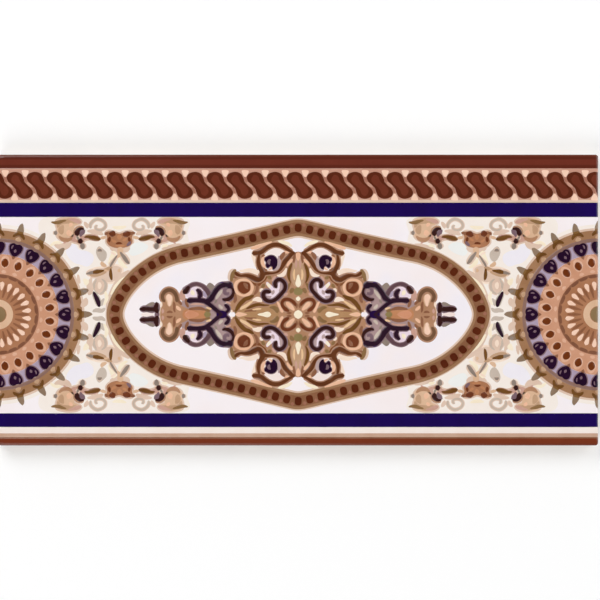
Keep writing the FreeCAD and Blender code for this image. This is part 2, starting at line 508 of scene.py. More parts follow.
def enamelPiece(name, screen, paths, kind="line", level=0.03, dome=0.16, step=0.4, closed=False,
                repeat=None, mirrors=drawnWhole, centreY=ornamentY, trim=False):
    # one screen's print of one ornament, drawn as curves and raised by Geometry Nodes
    isFill = kind == "fill"
    carrier = drawCurves(name, paths, closed or isFill)
    sizes = {"Step": step * mm, "Level": level * mm, "Dome": dome, "Bite": tile["bite"] * mm,
             "Ornament Y": centreY * mm, "Face Height": tile["thickness"] * mm}
    repeatKind = repeat["kind"] if repeat else None
    if repeat:
        sizes["Count"] = repeat["count"]
    if repeatKind == "ring":
        sizes["First Angle"] = math.radians(repeat["firstAngle"])
        sizes["Centre"] = repeat["centre"] * mm
    if repeatKind == "row":
        sizes["Pitch"] = repeat["pitch"] * mm
        sizes["First"] = repeat["first"] * mm
    if repeatKind == "path":
        sizes["Path"] = repeat["path"]
    tree, inputs = startTree(name + "_print", sizes)
    curved = smoothSpline(tree, inputs["Geometry"])
    sampleInputs = {"Curve": curved, "Length": inputs["Step"]}
    smooth = addNode(tree, "GeometryNodeResampleCurve", sampleInputs, mode="LENGTH").outputs[0]
    shape = fillShape(tree, inputs, smooth) if isFill else lineShape(tree, inputs, smooth)
    if repeatKind:
        shape = repeatShape(tree, inputs, shape, repeatKind)
    if mirrors[0]:
        shape = mirrorShape(tree, shape, (-1, 1, 1))
    if mirrors[1]:
        shape = mirrorShape(tree, shape, (1, -1, 1))
    placeInputs = {1: inputs["Ornament Y"], 2: inputs["Face Height"]}
    place = addNode(tree, "ShaderNodeCombineXYZ", placeInputs).outputs[0]
    shape = addNode(tree, "GeometryNodeTransform", {"Geometry": shape, "Translation": place}).outputs[0]
    shape = addNode(tree, "GeometryNodeRealizeInstances", {0: shape}).outputs[0]
    coated = addNode(tree, "GeometryNodeSetMaterial", {"Geometry": shape, "Material": finishes[screen]})
    addNode(tree, "NodeGroupOutput", {0: coated.outputs[0]})
    modifier = carrier.modifiers.new("print", "NODES")
    modifier.node_group = tree
    setSizes(modifier, sizes)
    ready = carrier.evaluated_get(bpy.context.evaluated_depsgraph_get())
    mesh = bpy.data.meshes.new_from_object(ready)
    mesh.name = name
    bpy.data.objects.remove(carrier)
    placePiece(name, mesh, screen, trim)


# Straight bands, from the edge with the rope down to the plain edge: (name, screen, lower y, upper y)
bands = {
    "lift": 0.05,
    "fullFrom": 47.5,      # an outer edge isn't thinned past here, where it bends over the arris
    "columns": 120,
    "rowStep": 0.8,
    "arrisCuts": (0.15, 0.3, 0.42),
    "meniscus": ((0.0, 0.0), (0.05, 0.65), (0.16, 1.0)),   # inset, share of the lift
    "rows": (
        ("upper_brown_band", "brown", 43.9, 48.5),
        ("rope_ground", "salmon", 33.4, 43.9),
        ("rope_foot_line", "runPale", 32.47, 33.4),
        ("upper_navy_band", "navy", 27.67, 32.47),
        ("lower_navy_band", "navy", -42.35, -37.73),
        ("lower_cream_band", "creamBand", -44.4, -42.35),
        ("lower_tan_line", "footLine", -45.65, -44.4),
        ("lower_ochre_line", "band", -46.1, -45.65),
        ("lower_brown_band", "footBrown", -48.5, -46.1),
    ),
}


def bandRows(low, high):
    # rows across a band, with a soft meniscus at both of its edges
    rows = [(low + inset, share) for inset, share in bands["meniscus"]]
    count = max(2, round((high - low) / bands["rowStep"]))
    for k in range(1, count):
        rows.append((low + (high - low) * k / count, 1.0))
    rows += [(high - inset, share) for inset, share in reversed(bands["meniscus"])]
    return sorted(set(rows))


def makeBand(name, screen, low, high):
    count = bands["columns"]
    columns = [-faceEnd + 2 * faceEnd * k / count for k in range(count + 1)]
    tips = [faceEnd + past for past in bands["arrisCuts"]] + [printEnd]
    columns = [-x for x in reversed(tips)] + columns + tips
    shape = bmesh.new()
    grid = []
    for y, share in bandRows(low, high):
        line = []
        for x in columns:
            # the plan corner's round pulls the outermost points in
            reach = tile["width"] / 2 - tile["printEdge"]
            past = abs(x) - (tile["length"] / 2 - tile["corner"])
            if past > 0:
                inner = tile["corner"] - tile["printEdge"]
                reach -= inner - math.sqrt(max(inner * inner - past * past, 0.0))
            heldY = max(-reach, min(reach, y))
            rise = bands["lift"] * (share if abs(y) < bands["fullFrom"] else 1.0)
            line.append(shape.verts.new((x * mm, heldY * mm, (tile["thickness"] + rise) * mm)))
        grid.append(line)
    for lower, upper in zip(grid, grid[1:]):
        for k in range(len(columns) - 1):
            # rows that are pulled together at a plan corner leave no face between them
            corners = (lower[k], lower[k + 1], upper[k + 1], upper[k])
            if len({tuple(round(c, 8) for c in vert.co) for vert in corners}) == len(corners):
                shape.faces.new(corners)
    loose = [vert for vert in shape.verts if not vert.link_faces]
    bmesh.ops.delete(shape, geom=loose, context="VERTS")
    under = bmesh.ops.extrude_face_region(shape, geom=shape.faces[:])
    for item in under["geom"]:
        if isinstance(item, bmesh.types.BMVert):
            item.co.z = (tile["thickness"] - tile["bite"]) * mm
    mesh = bpy.data.meshes.new(name)
    shape.to_mesh(mesh)
    shape.free()
    placePiece(name, mesh, screen)


for name, screen, low, high in bands["rows"]:
    makeBand(name, screen, low, high)
print("bands laid:", len(bands["rows"]))

# Rope: reversed S links in a row, each a dark link with a lighter heart, and bright corners between
rope = {
    "repeat": {"kind": "row", "count": 32, "pitch": 6.667, "first": -106.1},
    "middleY": 38.25,
    # half of a link's outline; the other half is the same turned by 180 degrees
    "halfLink": ((-1.5, 4.5), (0.35, 3.85), (1.2, 2.4), (1.6, 1.15), (2.55, 0.0), (3.9, -1.25), (4.4, -2.7),
                 (3.6, -3.95)),
    "halfHeart": ((-1.9, 3.5), (-0.6, 3.0), (-0.1, 1.7), (0.9, 0.5), (2.3, -0.6), (2.9, -2.0)),
    "gap": ((1.5, 3.6, 0.5), (1.9, 2.2, 1.3), (3.1, 0.3, 1.5), (4.4, -1.3, 1.4), (5.1, -3.0, 0.6)),
    "gapLight": ((2.2, 1.1, 0.4), (3.2, 0.2, 1.3), (4.3, -0.7, 0.4)),
    "brightCorner": ((-5.2, 5.1), (-3.7, 4.7), (-4.9, 2.7), (-6.1, 4.7)),
}


def turned(points):
    # the same outline, turned by 180 degrees
    return tuple((-x, -y) for x, y in points)


def makeRope():
    placing = {"repeat": rope["repeat"], "centreY": rope["middleY"], "trim": True}
    corner = rope["brightCorner"]
    link = rope["halfLink"] + turned(rope["halfLink"])
    heart = rope["halfHeart"] + turned(rope["halfHeart"])
    enamelPiece("rope_bright_corners", "brightPeach", [corner, turned(corner)], "fill",
                level=0.065, step=0.3, **placing)
    enamelPiece("rope_gaps", "gap", [rope["gap"]], level=0.05, dome=0.006, step=0.5, **placing)
    enamelPiece("rope_gap_lights", "salmon", [rope["gapLight"]], level=0.06, dome=0.01, **placing)
    enamelPiece("rope_links", "link", [link], "fill", level=0.09, **placing)
    enamelPiece("rope_hearts", "linkHeart", [heart], "fill", level=0.1, step=0.5, **placing)


makeRope()
print("rope laid")

# Oval band: a quarter of its centre line; beads sit along it
oval = {
    "quarterLine": ((0, 28.9), (4, 28.2), (11, 26.5), (22.4, 23.85), (34, 21.3), (41.6, 19.6), (48.3, 16.7),
                    (54.5, 12.0), (59.15, 6.2), (61.2, 0)),
    "width": 4.7,
    "edgeWidth": 1.0,
    "beads": 74,
    "edgeInset": 0.1,
    "runs": (0.95, 1.1),     # how far the colour runs outwards and inwards
    # a bead is a squarish dab; a bar is a paler stroke across the band between two beads
    "bead": ((1.15, 0.0), (1.0, 1.0), (0.1, 1.4), (-0.9, 1.15), (-1.15, 0.1), (-1.0, -1.0), (0.0, -1.4),
             (0.95, -1.1)),
    "bar": ((1.9, 0.2, 0.5), (1.9, 0.9, 1.3), (1.9, 1.6, 0.6)),
}


def closedLine(quarterLine, width):
    # a loop round the middle, from its upper right quarter
    right = [spot[:2] for spot in quarterLine]
    lowerRight = [(x, -y) for x, y in reversed(right[:-1])]
    left = [(-x, -y) for x, y in right[1:]]
    upperLeft = [(-x, y) for x, y in reversed(right[1:-1])]
    return [(x, y, width) for x, y in right + lowerRight + left + upperLeft]


def offsetLine(points, distance, width):
    # the same loop, moved sideways by a distance
    moved = []
    for k, (x, y, _) in enumerate(points):
        before = points[k - 1]
        after = points[(k + 1) % len(points)]
        run = Vector((after[0] - before[0], after[1] - before[1])).normalized()
        moved.append((x - run.y * distance, y + run.x * distance, width))
    return moved


def makeOval():
    middle = closedLine(oval["quarterLine"], oval["width"])
    toEdge = oval["width"] / 2 - oval["edgeInset"]
    outer = offsetLine(middle, toEdge, oval["edgeWidth"])
    inner = offsetLine(middle, -toEdge, oval["edgeWidth"])
    outerRun, innerRun = oval["runs"]
    run = offsetLine(middle, (outerRun - innerRun) / 2, oval["width"] + outerRun + innerRun)
    enamelPiece("oval_run", "runPale", [run], level=0.02, dome=0.003, step=1.0, closed=True)
    enamelPiece("oval_band", "band", [middle], level=0.03, dome=0.002, step=1.0, closed=True)
    enamelPiece("oval_band_edges", "bandEdge", [outer, inner], level=0.04, dome=0.08, step=1.0, closed=True)
    path = drawCurves("oval_middle_line", [middle], True)
    spacing = {"kind": "path", "count": oval["beads"], "path": path}
    enamelPiece("oval_bars", "bandSpot", [oval["bar"]], level=0.045, dome=0.06, step=0.35, repeat=spacing)
    enamelPiece("oval_beads", "bead", [oval["bead"]], "fill", level=0.09, step=0.35, repeat=spacing)
    bpy.data.objects.remove(path)


makeOval()
print("oval laid")

# Half medallions at the tile's ends. Each motif points along +X from the medallion's centre
medallion = {
    "petals": 24,
    "runWidth": 0.8,         # what a run adds to a drop or a seed
    "centre": -100.0,
    "drop": ((20.0, 0.0), (20.4, 0.9), (21.2, 1.6), (22.2, 2.1), (23.4, 2.2), (24.2, 1.5), (24.3, 0.7),
             (24.1, 0.0)),
    "dropGlint": ((21.2, 0.0, 0.5), (21.9, 0.0, 1.1), (22.5, 0.0, 0.5)),
    "dropShine": ((22.2, 1.3, 0.4), (23.0, 1.3, 0.6), (23.7, 1.0, 0.3)),
    "tongue": ((18.9, 0.0, 0.4), (19.7, 0.0, 1.3), (20.4, 0.0, 1.7)),
    "seed": ((15.8, 0.0, 1.3), (16.6, 0.0, 2.4), (17.8, 0.0, 2.5), (18.9, 0.0, 1.3)),
    "seedHalo": ((15.4, 0.0, 1.6), (17.6, 0.0, 3.5), (19.9, 0.0, 1.8)),
    "spot": ((14.2, -0.9, 0.6), (14.4, 0.0, 1.2), (14.2, 0.9, 0.6)),
    "rimCap": ((26.2, -2.0, 0.6), (27.2, -1.2, 1.3), (27.8, 0.0, 1.7), (27.2, 1.2, 1.3), (26.2, 2.0, 0.6)),
    "rimPearl": ((25.0, 0.0, 2.6), (25.8, 0.0, 2.2), (26.7, 0.0, 0.8)),
    "capTop": ((27.4, 0.0, 3.3), (28.3, 0.0, 2.7), (29.4, 0.0, 1.2)),
    "spike": ((27.9, 0.0, 3.1), (29.2, 0.0, 2.3), (30.4, 0.1, 1.6), (31.4, 0.0, 0.5)),
    "ray": ((5.6, 0.0, 0.4), (7.4, 0.0, 0.9), (8.6, 0.0, 1.0), (10.4, 0.0, 0.3)),
    "petal": ((8.0, 0.0, 0.4), (9.1, 0.0, 1.1), (10.2, 0.0, 1.6), (11.1, 0.0, 1.2)),
    "scallop": ((12.6, -1.5, 0.5), (12.75, -0.7, 1.1), (12.75, 0.7, 1.1), (12.6, 1.5, 0.5)),
}


def ringPath(radius, width, count):
    return [(radius * math.cos(2 * math.pi * k / count), radius * math.sin(2 * math.pi * k / count), width)
            for k in range(count)]


def wholeOutline(half):
    # a motif's outline from its upper half
    lower = [(x, -y) for x, y in reversed(half) if y > 0]
    return list(half) + lower


def wholeOval(quarterOutline):
    # the same as an outline to fill
    return [spot[:2] for spot in closedLine(quarterOutline, 1.0)]


def medallionPiece(name, screen, paths, kind="line", halfStep=False, turning=True, **sizes):
    # a turning motif is repeated round the centre, a ring is drawn round it
    repeat = None
    if turning:
        firstAngle = 180 / medallion["petals"] if halfStep else 0.0
        repeat = {"kind": "ring", "count": medallion["petals"], "firstAngle": firstAngle,
                  "centre": medallion["centre"]}
    else:
        paths = [[(x + medallion["centre"], y, w) for x, y, w in path] for path in paths]
    enamelPiece("medallion_" + name, screen, paths, kind, repeat=repeat, mirrors=sideways, trim=True, **sizes)


# the motifs: name, screen, motif, whether it lies between the drops, level and dome
medallionMotifs = (
    ("spikes", "spike", "spike", False, 0.03, 0.07),
    ("cap_tops", "cap", "capTop", False, 0.035, 0.07),
    ("rim_caps", "oliveLine", "rimCap", False, 0.05, 0.07),
    ("rim_pearls", "paleLeaf", "rimPearl", False, 0.055, 0.05),
    ("tongues", "softLine", "tongue", False, 0.04, 0.04),
    ("drop_glints", "mauve", "dropGlint", False, 0.085, 0.05),
    ("drop_shines", "mauve", "dropShine", False, 0.085, 0.05),
    ("seed_halos", "ringLight", "seedHalo", True, 0.045, 0.02),
    ("seeds", "seed", "seed", True, 0.06, 0.08),
    ("ring_spots", "ringLight", "spot", True, 0.05, 0.04),
    ("scallops", "ringBrown", "scallop", True, 0.065, 0.07),
    ("sun_petals", "brightPeach", "petal", True, 0.05, 0.06),
    ("sun_rays", "siennaRay", "ray", False, 0.05, 0.08),
)
# the plain rings: name, screen, radius, width and level
medallionRings = (
    ("halo", "creamWash", 28.6, 3.0, 0.012),
    ("rim_run", "runPale", 26.6, 4.9, 0.02),
    ("rim", "rim", 26.3, 3.9, 0.03),
    ("lavender_ring", "lavender", 22.4, 4.6, 0.02),
    ("salmon_ring", "ringSalmon", 16.7, 7.2, 0.03),
    ("sun_ground", "sienna", 6.6, 13.2, 0.025),
    ("brown_ring", "softLine", 13.1, 0.8, 0.055),
    ("rim_edge", "rimEdge", 24.75, 1.3, 0.05),
    ("core_ring", "sand", 3.9, 2.4, 0.045),
    ("core", "core", 1.4, 2.8, 0.045),
)


def makeMedallions():
    for name, screen, radius, width, level in medallionRings:
        # the small rings take fewer points, and a wide one stays almost flat
        count = 12 if radius < 5 else 24
        dome = 0.06 if width < 1.5 else 0.012 / width
        medallionPiece(name, screen, [ringPath(radius, width, count)], closed=True, turning=False,
                       level=level, dome=dome, step=0.8)
    drop = wholeOutline(medallion["drop"])
    dropRun = [(x, y, medallion["runWidth"]) for x, y in drop]
    seedRun = [(x, y, width + medallion["runWidth"]) for x, y, width in medallion["seed"]]
    medallionPiece("drops", "plum", [drop], "fill", level=0.08, step=0.3)
    medallionPiece("drop_runs", "runCool", [dropRun], closed=True, level=0.05, dome=0.004)
    medallionPiece("seed_runs", "siennaRay", [seedRun], halfStep=True, level=0.05, dome=0.004)
    for name, screen, motif, halfStep, level, dome in medallionMotifs:
        medallionPiece(name, screen, [medallion[motif]], halfStep=halfStep, level=level, dome=dome, step=0.35)


makeMedallions()
print("medallions laid")

# Central arabesque, one quarter of it, from the ornament's middle towards its right end and upper edge.
# Each layer is one screen's share: its paths are outlines of (x, y) to fill, or lines of (x, y, width)


def acrossOutline(half):
    # an outline that straddles the middle, from its right half
    return list(half) + [(-x, y) for x, y in reversed(half) if x > 0]


arabesque = {
    "ground": {"screen": "ground", "level": 0.02, "mirrors": drawnWhole, "paths": [
        wholeOval(((0, 20.9), (1.8, 20.4), (4.0, 18.6), (5.4, 16.0), (7.2, 14.1), (9.8, 13.6), (12.0, 13.0),
                   (13.6, 11.6), (14.0, 8.5), (15.6, 6.0), (18.6, 4.4), (20.4, 2.2), (21.0, 0))),
    ]},
    "leaves": {"screen": "leaf", "level": 0.03, "mirrors": sideways, "paths": [
        wholeOutline(((20.9, 0), (19.8, 1.2), (17.8, 2.0), (15.8, 2.8), (13.6, 3.5), (11.4, 3.2),
                      (9.4, 3.3), (7.6, 3.0), (6.6, 1.6), (6.4, 0))),
    ]},
    "knob_grounds": {"run": ("runPale", 0.4), "screen": "ground",
                     "level": 0.034, "mirrors": sideways, "paths": [
        wholeOutline(((46.0, 0), (45.8, 1.8), (45.2, 3.2), (45.6, 4.8), (45.2, 6.8), (44.0, 8.0),
                      (42.4, 8.0), (41.1, 7.0), (40.5, 5.4), (40.0, 4.2), (39.0, 3.0), (37.8, 2.4),
                      (36.4, 1.6), (35.8, 0))),
    ]},
    "upright_leaves": {"run": ("runWarm", 0.3), "screen": "paleLeaf",
                       "level": 0.03, "mirrors": upright, "paths": [
        acrossOutline(((0, 20.7), (1.0, 19.6), (1.7, 17.6), (2.6, 15.2), (2.7, 12.8), (2.0, 10.8),
                       (1.2, 9.4), (0, 9.1))),
    ]},
    "arm_grounds": {"screen": "ground", "level": 0.028, "paths": [
        ((19.8, 2.2), (20.8, 0.9), (22.2, 1.0), (23.0, 2.6), (23.6, 4.4), (22.4, 5.3), (21.4, 6.4),
         (20.6, 4.4)),
    ]},
    "crossing_grounds": {"screen": "mauveHaze", "level": 0.025, "mirrors": sideways, "paths": [
        wholeOutline(((38.2, 0), (38.8, 3.0), (38.6, 5.4), (37.6, 5.6), (36.4, 4.6), (33.4, 4.5),
                      (31.4, 4.0), (29.6, 2.9), (28.0, 1.6), (26.9, 0))),
    ]},
    "spindle": {"screen": "coral", "level": 0.04, "mirrors": sideways, "paths": [
        wholeOutline(((38.6, 0), (38.0, 1.4), (36.4, 1.7), (34.4, 1.9), (32.4, 1.8), (30.8, 1.2),
                      (29.4, 0))),
    ]},
    "flower_grounds": {"screen": "ground", "level": 0.03, "paths": [
        ((1.4, 20.7), (3.2, 21.6), (5.0, 22.7), (7.6, 23.3), (9.8, 22.7), (11.6, 21.5), (15.0, 20.3),
         (13.4, 19.4), (13.4, 17.2), (12.6, 14.8), (11.0, 13.6), (8.2, 13.7), (6.2, 14.8), (5.0, 16.8),
         (3.4, 18.9)),
        ((21.2, 14.5), (20.0, 13.7), (17.8, 13.4), (15.6, 12.8), (13.4, 12.4), (12.4, 10.4), (12.8, 7.8),
         (14.6, 5.9), (17.0, 4.8), (19.4, 3.4), (21.2, 3.4), (21.6, 6.4), (22.0, 9.4), (22.3, 12.0)),
    ]},
    "junctions": {"screen": "tawny", "level": 0.04, "paths": [
        ((10.4, 12.8), (12.6, 13.2), (14.8, 12.4), (16.0, 11.6), (14.9, 10.0), (13.4, 9.2), (12.0, 10.4),
         (10.8, 11.4)),
    ]},
    "corners": {"screen": "softLine", "level": 0.04, "paths": [
        ((18.6, 13.2), (19.8, 13.6), (21.0, 14.5), (21.8, 13.6), (22.0, 12.3), (20.8, 12.0), (19.6, 12.3)),
        ((1.1, 20.7), (1.9, 20.4), (2.6, 19.4), (2.0, 18.2), (1.4, 17.0), (0.9, 18.6), (0.7, 20.0)),
    ]},
    "volute_grounds": {"screen": "mauveHaze", "level": 0.03, "paths": [
        ((22.2, 9.4), (24.2, 9.8), (26.2, 9.2), (27.4, 7.6), (28.6, 5.8), (29.4, 4.4), (28.0, 2.6),
         (26.0, 1.2), (24.2, 1.4), (24.4, 3.4), (23.2, 4.4), (22.0, 5.4), (21.6, 7.4)),
    ]},
    "arch_grounds": {"screen": "lilac", "level": 0.03, "paths": [
        ((29.6, 5.8), (30.4, 8.0), (31.8, 9.5), (33.8, 10.3), (35.8, 9.8), (37.4, 8.0), (37.6, 6.4),
         (36.4, 5.2), (33.0, 5.0), (30.8, 4.9)),
    ]},
    "flower_discs": {"screen": "pink", "level": 0.045, "paths": [
        ((3.9, 20.8), (5.6, 21.8), (7.4, 22.4), (9.2, 22.0), (10.8, 20.9), (11.8, 19.2), (12.2, 17.4),
         (11.9, 15.8), (10.9, 14.6), (9.2, 14.3), (7.5, 14.7), (6.2, 15.8), (5.8, 17.4), (5.6, 18.8),
         (4.8, 19.8)),
    ]},
    "flower_spots": {"screen": "softLine", "level": 0.055, "dome": 0.04, "paths": [
        ((4.2, 20.9, 0.6), (4.9, 20.2, 1.2), (5.5, 19.3, 1.6), (6.0, 18.3, 0.9), (6.1, 17.6, 0.4)),
        ((10.2, 14.9, 0.4), (11.0, 14.9, 0.8), (11.6, 15.7, 0.4)),
        ((12.1, 18.9, 0.4), (11.7, 19.5, 1.0), (11.0, 19.9, 0.4)),
    ]},
    "berries": {"run": ("runCool", 0.3), "screen": "plum", "level": 0.07, "paths": [
        ((11.3, 18.5), (10.3, 19.3), (9.2, 19.7), (7.9, 19.4), (7.0, 18.2), (6.9, 16.7), (7.5, 15.5),
         (8.3, 15.0), (9.0, 16.2), (9.6, 15.9), (10.2, 15.5), (10.8, 16.3), (10.6, 17.3)),
    ]},
    "berry_shines": {"screen": "mauve", "level": 0.075, "dome": 0.05, "paths": [
        ((9.1, 18.3, 0.4), (9.8, 17.8, 1.2), (9.7, 17.0, 0.9), (9.5, 16.6, 0.4)),
    ]},
    "scroll_hearts": {"screen": "lilac", "level": 0.045, "paths": [
        ((5.2, 10.8), (6.3, 11.3), (7.0, 10.6), (6.8, 9.4), (7.2, 8.6), (8.1, 9.0), (9.0, 9.8), (9.8, 10.5),
         (10.4, 10.9), (10.7, 10.2), (10.2, 9.3), (9.4, 8.5), (8.8, 7.7), (9.4, 7.2), (10.6, 7.3),
         (11.2, 6.4), (10.6, 5.4), (9.2, 5.0), (7.8, 5.4), (6.6, 6.4), (5.5, 7.6), (4.9, 9.0)),
    ]},
    "haze_touches": {"screen": "haze", "level": 0.055, "dome": 0.04, "paths": [
        ((5.9, 10.7, 0.5), (5.7, 9.6, 1.0), (5.8, 8.5, 0.9), (6.5, 7.6, 0.4)),
        ((8.8, 5.9, 0.5), (9.8, 5.8, 0.9), (10.6, 6.3, 0.5)),
        ((8.0, 8.2, 0.5), (8.4, 7.3, 1.2), (8.8, 6.6, 0.6)),
        ((31.6, 8.7, 0.5), (32.8, 9.4, 1.0), (34.2, 9.6, 0.5)),
        ((6.6, 19.6, 0.5), (6.3, 18.4, 1.2), (6.4, 17.0, 1.3), (6.7, 15.8, 1.1), (7.6, 14.9, 0.7),
         (8.5, 14.7, 0.4)),
    ]},
    "discs": {"run": ("runWarm", 0.4), "screen": "rust", "level": 0.045, "paths": [
        ((16.2, 10.3), (17.6, 10.9), (19.4, 10.7), (20.2, 9.2), (19.6, 7.7), (17.9, 6.9), (16.4, 7.7),
         (16.0, 9.0)),
    ]},
    "disc_hearts": {"screen": "softLine", "level": 0.055, "dome": 0.05, "paths": [
        ((18.3, 10.6, 0.6), (17.5, 9.8, 1.4), (17.2, 9.0, 1.0), (16.7, 8.4, 0.4)),
    ]},
    "khaki_pools": {"screen": "khaki", "level": 0.04, "dome": 0.04, "paths": [
        ((7.0, 0.4, 1.0), (7.2, 1.6, 1.8), (8.4, 2.3, 1.3), (9.6, 2.3, 0.5)),
        ((1.2, 8.4, 0.7), (2.0, 8.2, 1.6), (2.6, 7.0, 0.9)),
        ((8.9, 11.8, 0.6), (9.6, 12.3, 1.4), (10.4, 12.8, 0.6)),
        ((11.2, 10.3, 0.5), (11.6, 9.6, 1.3), (12.3, 8.9, 0.5)),
        ((2.4, 10.6, 0.5), (3.2, 9.6, 1.0), (3.4, 8.2, 0.5)),
        ((2.7, 21.2, 0.5), (3.9, 22.0, 0.9), (5.2, 22.7, 0.5)),
        ((29.2, 1.1, 0.5), (30.2, 1.3, 1.1), (31.4, 1.6, 0.5)),
        ((21.6, 1.6, 0.4), (20.9, 1.0, 0.9), (20.9, 0.2, 0.6)),
    ]},
    "tip_shades": {"run": ("runPale", 0.85), "screen": "khaki", "level": 0.045, "dome": 0.04, "paths": [
        ((20.8, 15.1, 1.0), (21.7, 13.6, 1.6), (22.2, 11.9, 1.3), (22.4, 10.8, 0.6)),
    ]},
    "axis_olives": {"screen": "olive", "level": 0.035, "mirrors": upright, "paths": [
        acrossOutline(((0, 9.0), (1.0, 8.7), (1.5, 7.7), (1.1, 6.7), (0, 6.4))),
    ]},
    "tip_olives": {"screen": "olive", "level": 0.045, "mirrors": sideways, "paths": [
        wholeOutline(((31.4, 0), (30.8, 0.9), (29.8, 0.9), (29.0, 0))),
    ]},
    "soft_touches": {"screen": "softLine", "level": 0.045, "dome": 0.05, "paths": [
        ((2.1, 0.5, 0.4), (3.0, 0.5, 0.9), (3.9, 0.5, 0.4)),
        ((0.5, 2.0, 0.4), (0.5, 3.0, 0.9), (0.5, 3.9, 0.4)),
        ((18.0, 1.0, 0.4), (16.0, 1.3, 0.7), (13.8, 1.2, 0.4)),
        ((13.9, 10.4, 0.6), (13.6, 9.0, 1.1), (13.9, 7.7, 1.1), (14.8, 6.5, 0.7)),
        ((30.8, 1.5, 0.6), (32.6, 2.0, 1.3), (34.6, 2.0, 1.2), (36.6, 1.7, 0.6)),
        ((38.8, 3.0, 0.5), (39.4, 4.0, 1.1), (40.3, 4.6, 1.1)),
        ((41.5, 4.3, 0.5), (41.3, 3.0, 1.0), (41.3, 1.6, 0.8), (41.0, 0.6, 0.4)),
        ((37.2, 5.4, 0.6), (37.3, 4.3, 1.2), (37.0, 3.2, 1.1), (36.6, 2.3, 0.6)),
        ((0.9, 20.4, 0.5), (1.5, 18.8, 0.8), (1.5, 17.2, 0.4)),
        ((21.5, 8.0, 0.5), (21.2, 6.6, 1.1), (20.9, 5.2, 1.3), (21.4, 3.8, 0.8)),
        ((43.9, 0.6, 0.5), (42.8, 0.9, 0.9), (41.8, 0.6, 0.5)),
    ]},
    "rose_touches": {"screen": "rose", "level": 0.05, "dome": 0.05, "paths": [
        ((31.0, 3.1, 0.5), (32.8, 3.5, 0.8), (34.8, 3.5, 0.8), (36.0, 3.3, 0.5)),
        ((38.2, 8.4, 0.5), (38.7, 7.3, 1.6), (38.6, 5.9, 2.1), (38.2, 4.5, 1.5)),
        ((45.2, 2.0, 0.5), (45.1, 1.1, 1.0), (45.3, 0.3, 0.6)),
        ((3.4, 7.2, 0.5), (4.0, 6.7, 1.1), (4.9, 6.2, 0.5)),
        ((7.4, 12.8, 0.6), (8.0, 12.2, 0.9), (8.8, 11.0, 0.5)),
        ((0.5, 18.3, 0.4), (0.7, 16.9, 0.9), (0.7, 15.4, 0.4)),
        ((22.3, 3.4, 0.5), (23.4, 4.0, 0.8), (24.4, 4.2, 0.5)),
    ]},
    "pale_touches": {"screen": "blush", "level": 0.025, "dome": 0.03, "paths": [
        ((15.2, 21.4, 0.5), (15.0, 19.6, 1.2), (14.4, 17.6, 1.2), (14.0, 15.6, 0.6)),
        ((14.0, 14.9, 0.5), (16.4, 14.8, 1.3), (18.6, 14.5, 0.9), (19.8, 14.6, 0.4)),
    ]},
    "peach_touches": {"screen": "peach", "level": 0.05, "dome": 0.06, "paths": [
        ((5.2, 0.5, 1.0), (5.4, 1.1, 1.1), (6.0, 2.2, 0.9), (6.6, 3.6, 0.9), (7.2, 4.4, 0.4)),
        ((15.9, 21.9, 0.7), (14.2, 22.4, 1.4), (12.4, 23.0, 1.3), (10.4, 23.8, 1.1), (8.6, 24.4, 0.7)),
        ((40.7, 2.9, 0.6), (40.0, 2.1, 1.2), (39.0, 1.3, 0.7)),
        ((1.8, 18.6, 0.5), (2.4, 17.9, 1.1), (3.2, 17.0, 1.0), (3.8, 15.9, 0.6)),
        ((11.0, 19.9, 0.4), (11.7, 18.9, 0.9), (11.9, 17.5, 1.3), (11.5, 16.3, 1.1), (10.8, 15.4, 0.4)),
        ((8.4, 16.2, 0.3), (9.1, 15.2, 0.7), (10.0, 15.0, 0.4)),
        ((2.9, 20.9, 0.5), (3.8, 20.7, 1.0), (4.7, 21.0, 0.5)),
    ]},
    "peach_rings": {"screen": "peach", "level": 0.055, "dome": 0.06, "closed": True, "paths": [
        ((16.1, 10.9, 0.6), (17.5, 11.5, 1.0), (19.4, 11.4, 0.9), (20.7, 10.4, 1.2), (20.9, 8.8, 1.1),
         (20.2, 7.2, 1.1), (18.4, 6.3, 0.8), (16.5, 6.8, 1.2), (15.5, 7.9, 1.0), (15.3, 9.4, 1.1)),
    ]},
    "blush_touches": {"screen": "blush", "level": 0.05, "dome": 0.05, "paths": [
        ((3.9, 15.6, 0.5), (4.2, 14.6, 1.0), (4.9, 13.4, 1.5), (6.2, 12.9, 1.0), (7.2, 13.1, 0.4)),
        ((13.0, 14.9, 0.5), (13.7, 14.1, 1.7), (15.0, 14.2, 1.2), (17.2, 14.4, 0.4)),
        ((12.0, 4.2, 0.5), (13.1, 5.0, 1.8), (14.4, 5.0, 1.2), (15.4, 4.5, 0.5)),
        ((45.5, 4.2, 0.4), (45.7, 3.2, 0.9), (45.7, 2.4, 0.4)),
        ((11.6, 8.5, 0.4), (12.4, 8.3, 0.9), (12.7, 7.4, 0.5)),
        ((20.0, 10.8, 0.4), (20.6, 10.4, 0.8), (20.8, 9.7, 0.4)),
        ((22.0, 0.6, 0.9), (22.4, 1.6, 0.5)),
    ]},
    "gold_touches": {"screen": "gold", "level": 0.05, "dome": 0.06, "paths": [
        ((15.0, 4.6, 0.5), (16.2, 3.8, 0.9), (17.4, 2.9, 1.1), (18.7, 2.2, 1.0), (19.4, 1.6, 0.5)),
        ((1.2, 15.2, 0.3), (1.4, 13.4, 0.8), (1.2, 11.4, 0.5)),
        ((12.2, 1.9, 0.4), (13.6, 1.8, 0.7), (15.4, 1.5, 0.4)),
        ((28.6, 1.8, 0.4), (29.6, 2.0, 0.8), (30.8, 2.4, 0.4)),
    ]},
    "knob_hearts": {"run": ("sand", 0.4), "screen": "brightPeach", "level": 0.07, "dome": 0.03, "paths": [
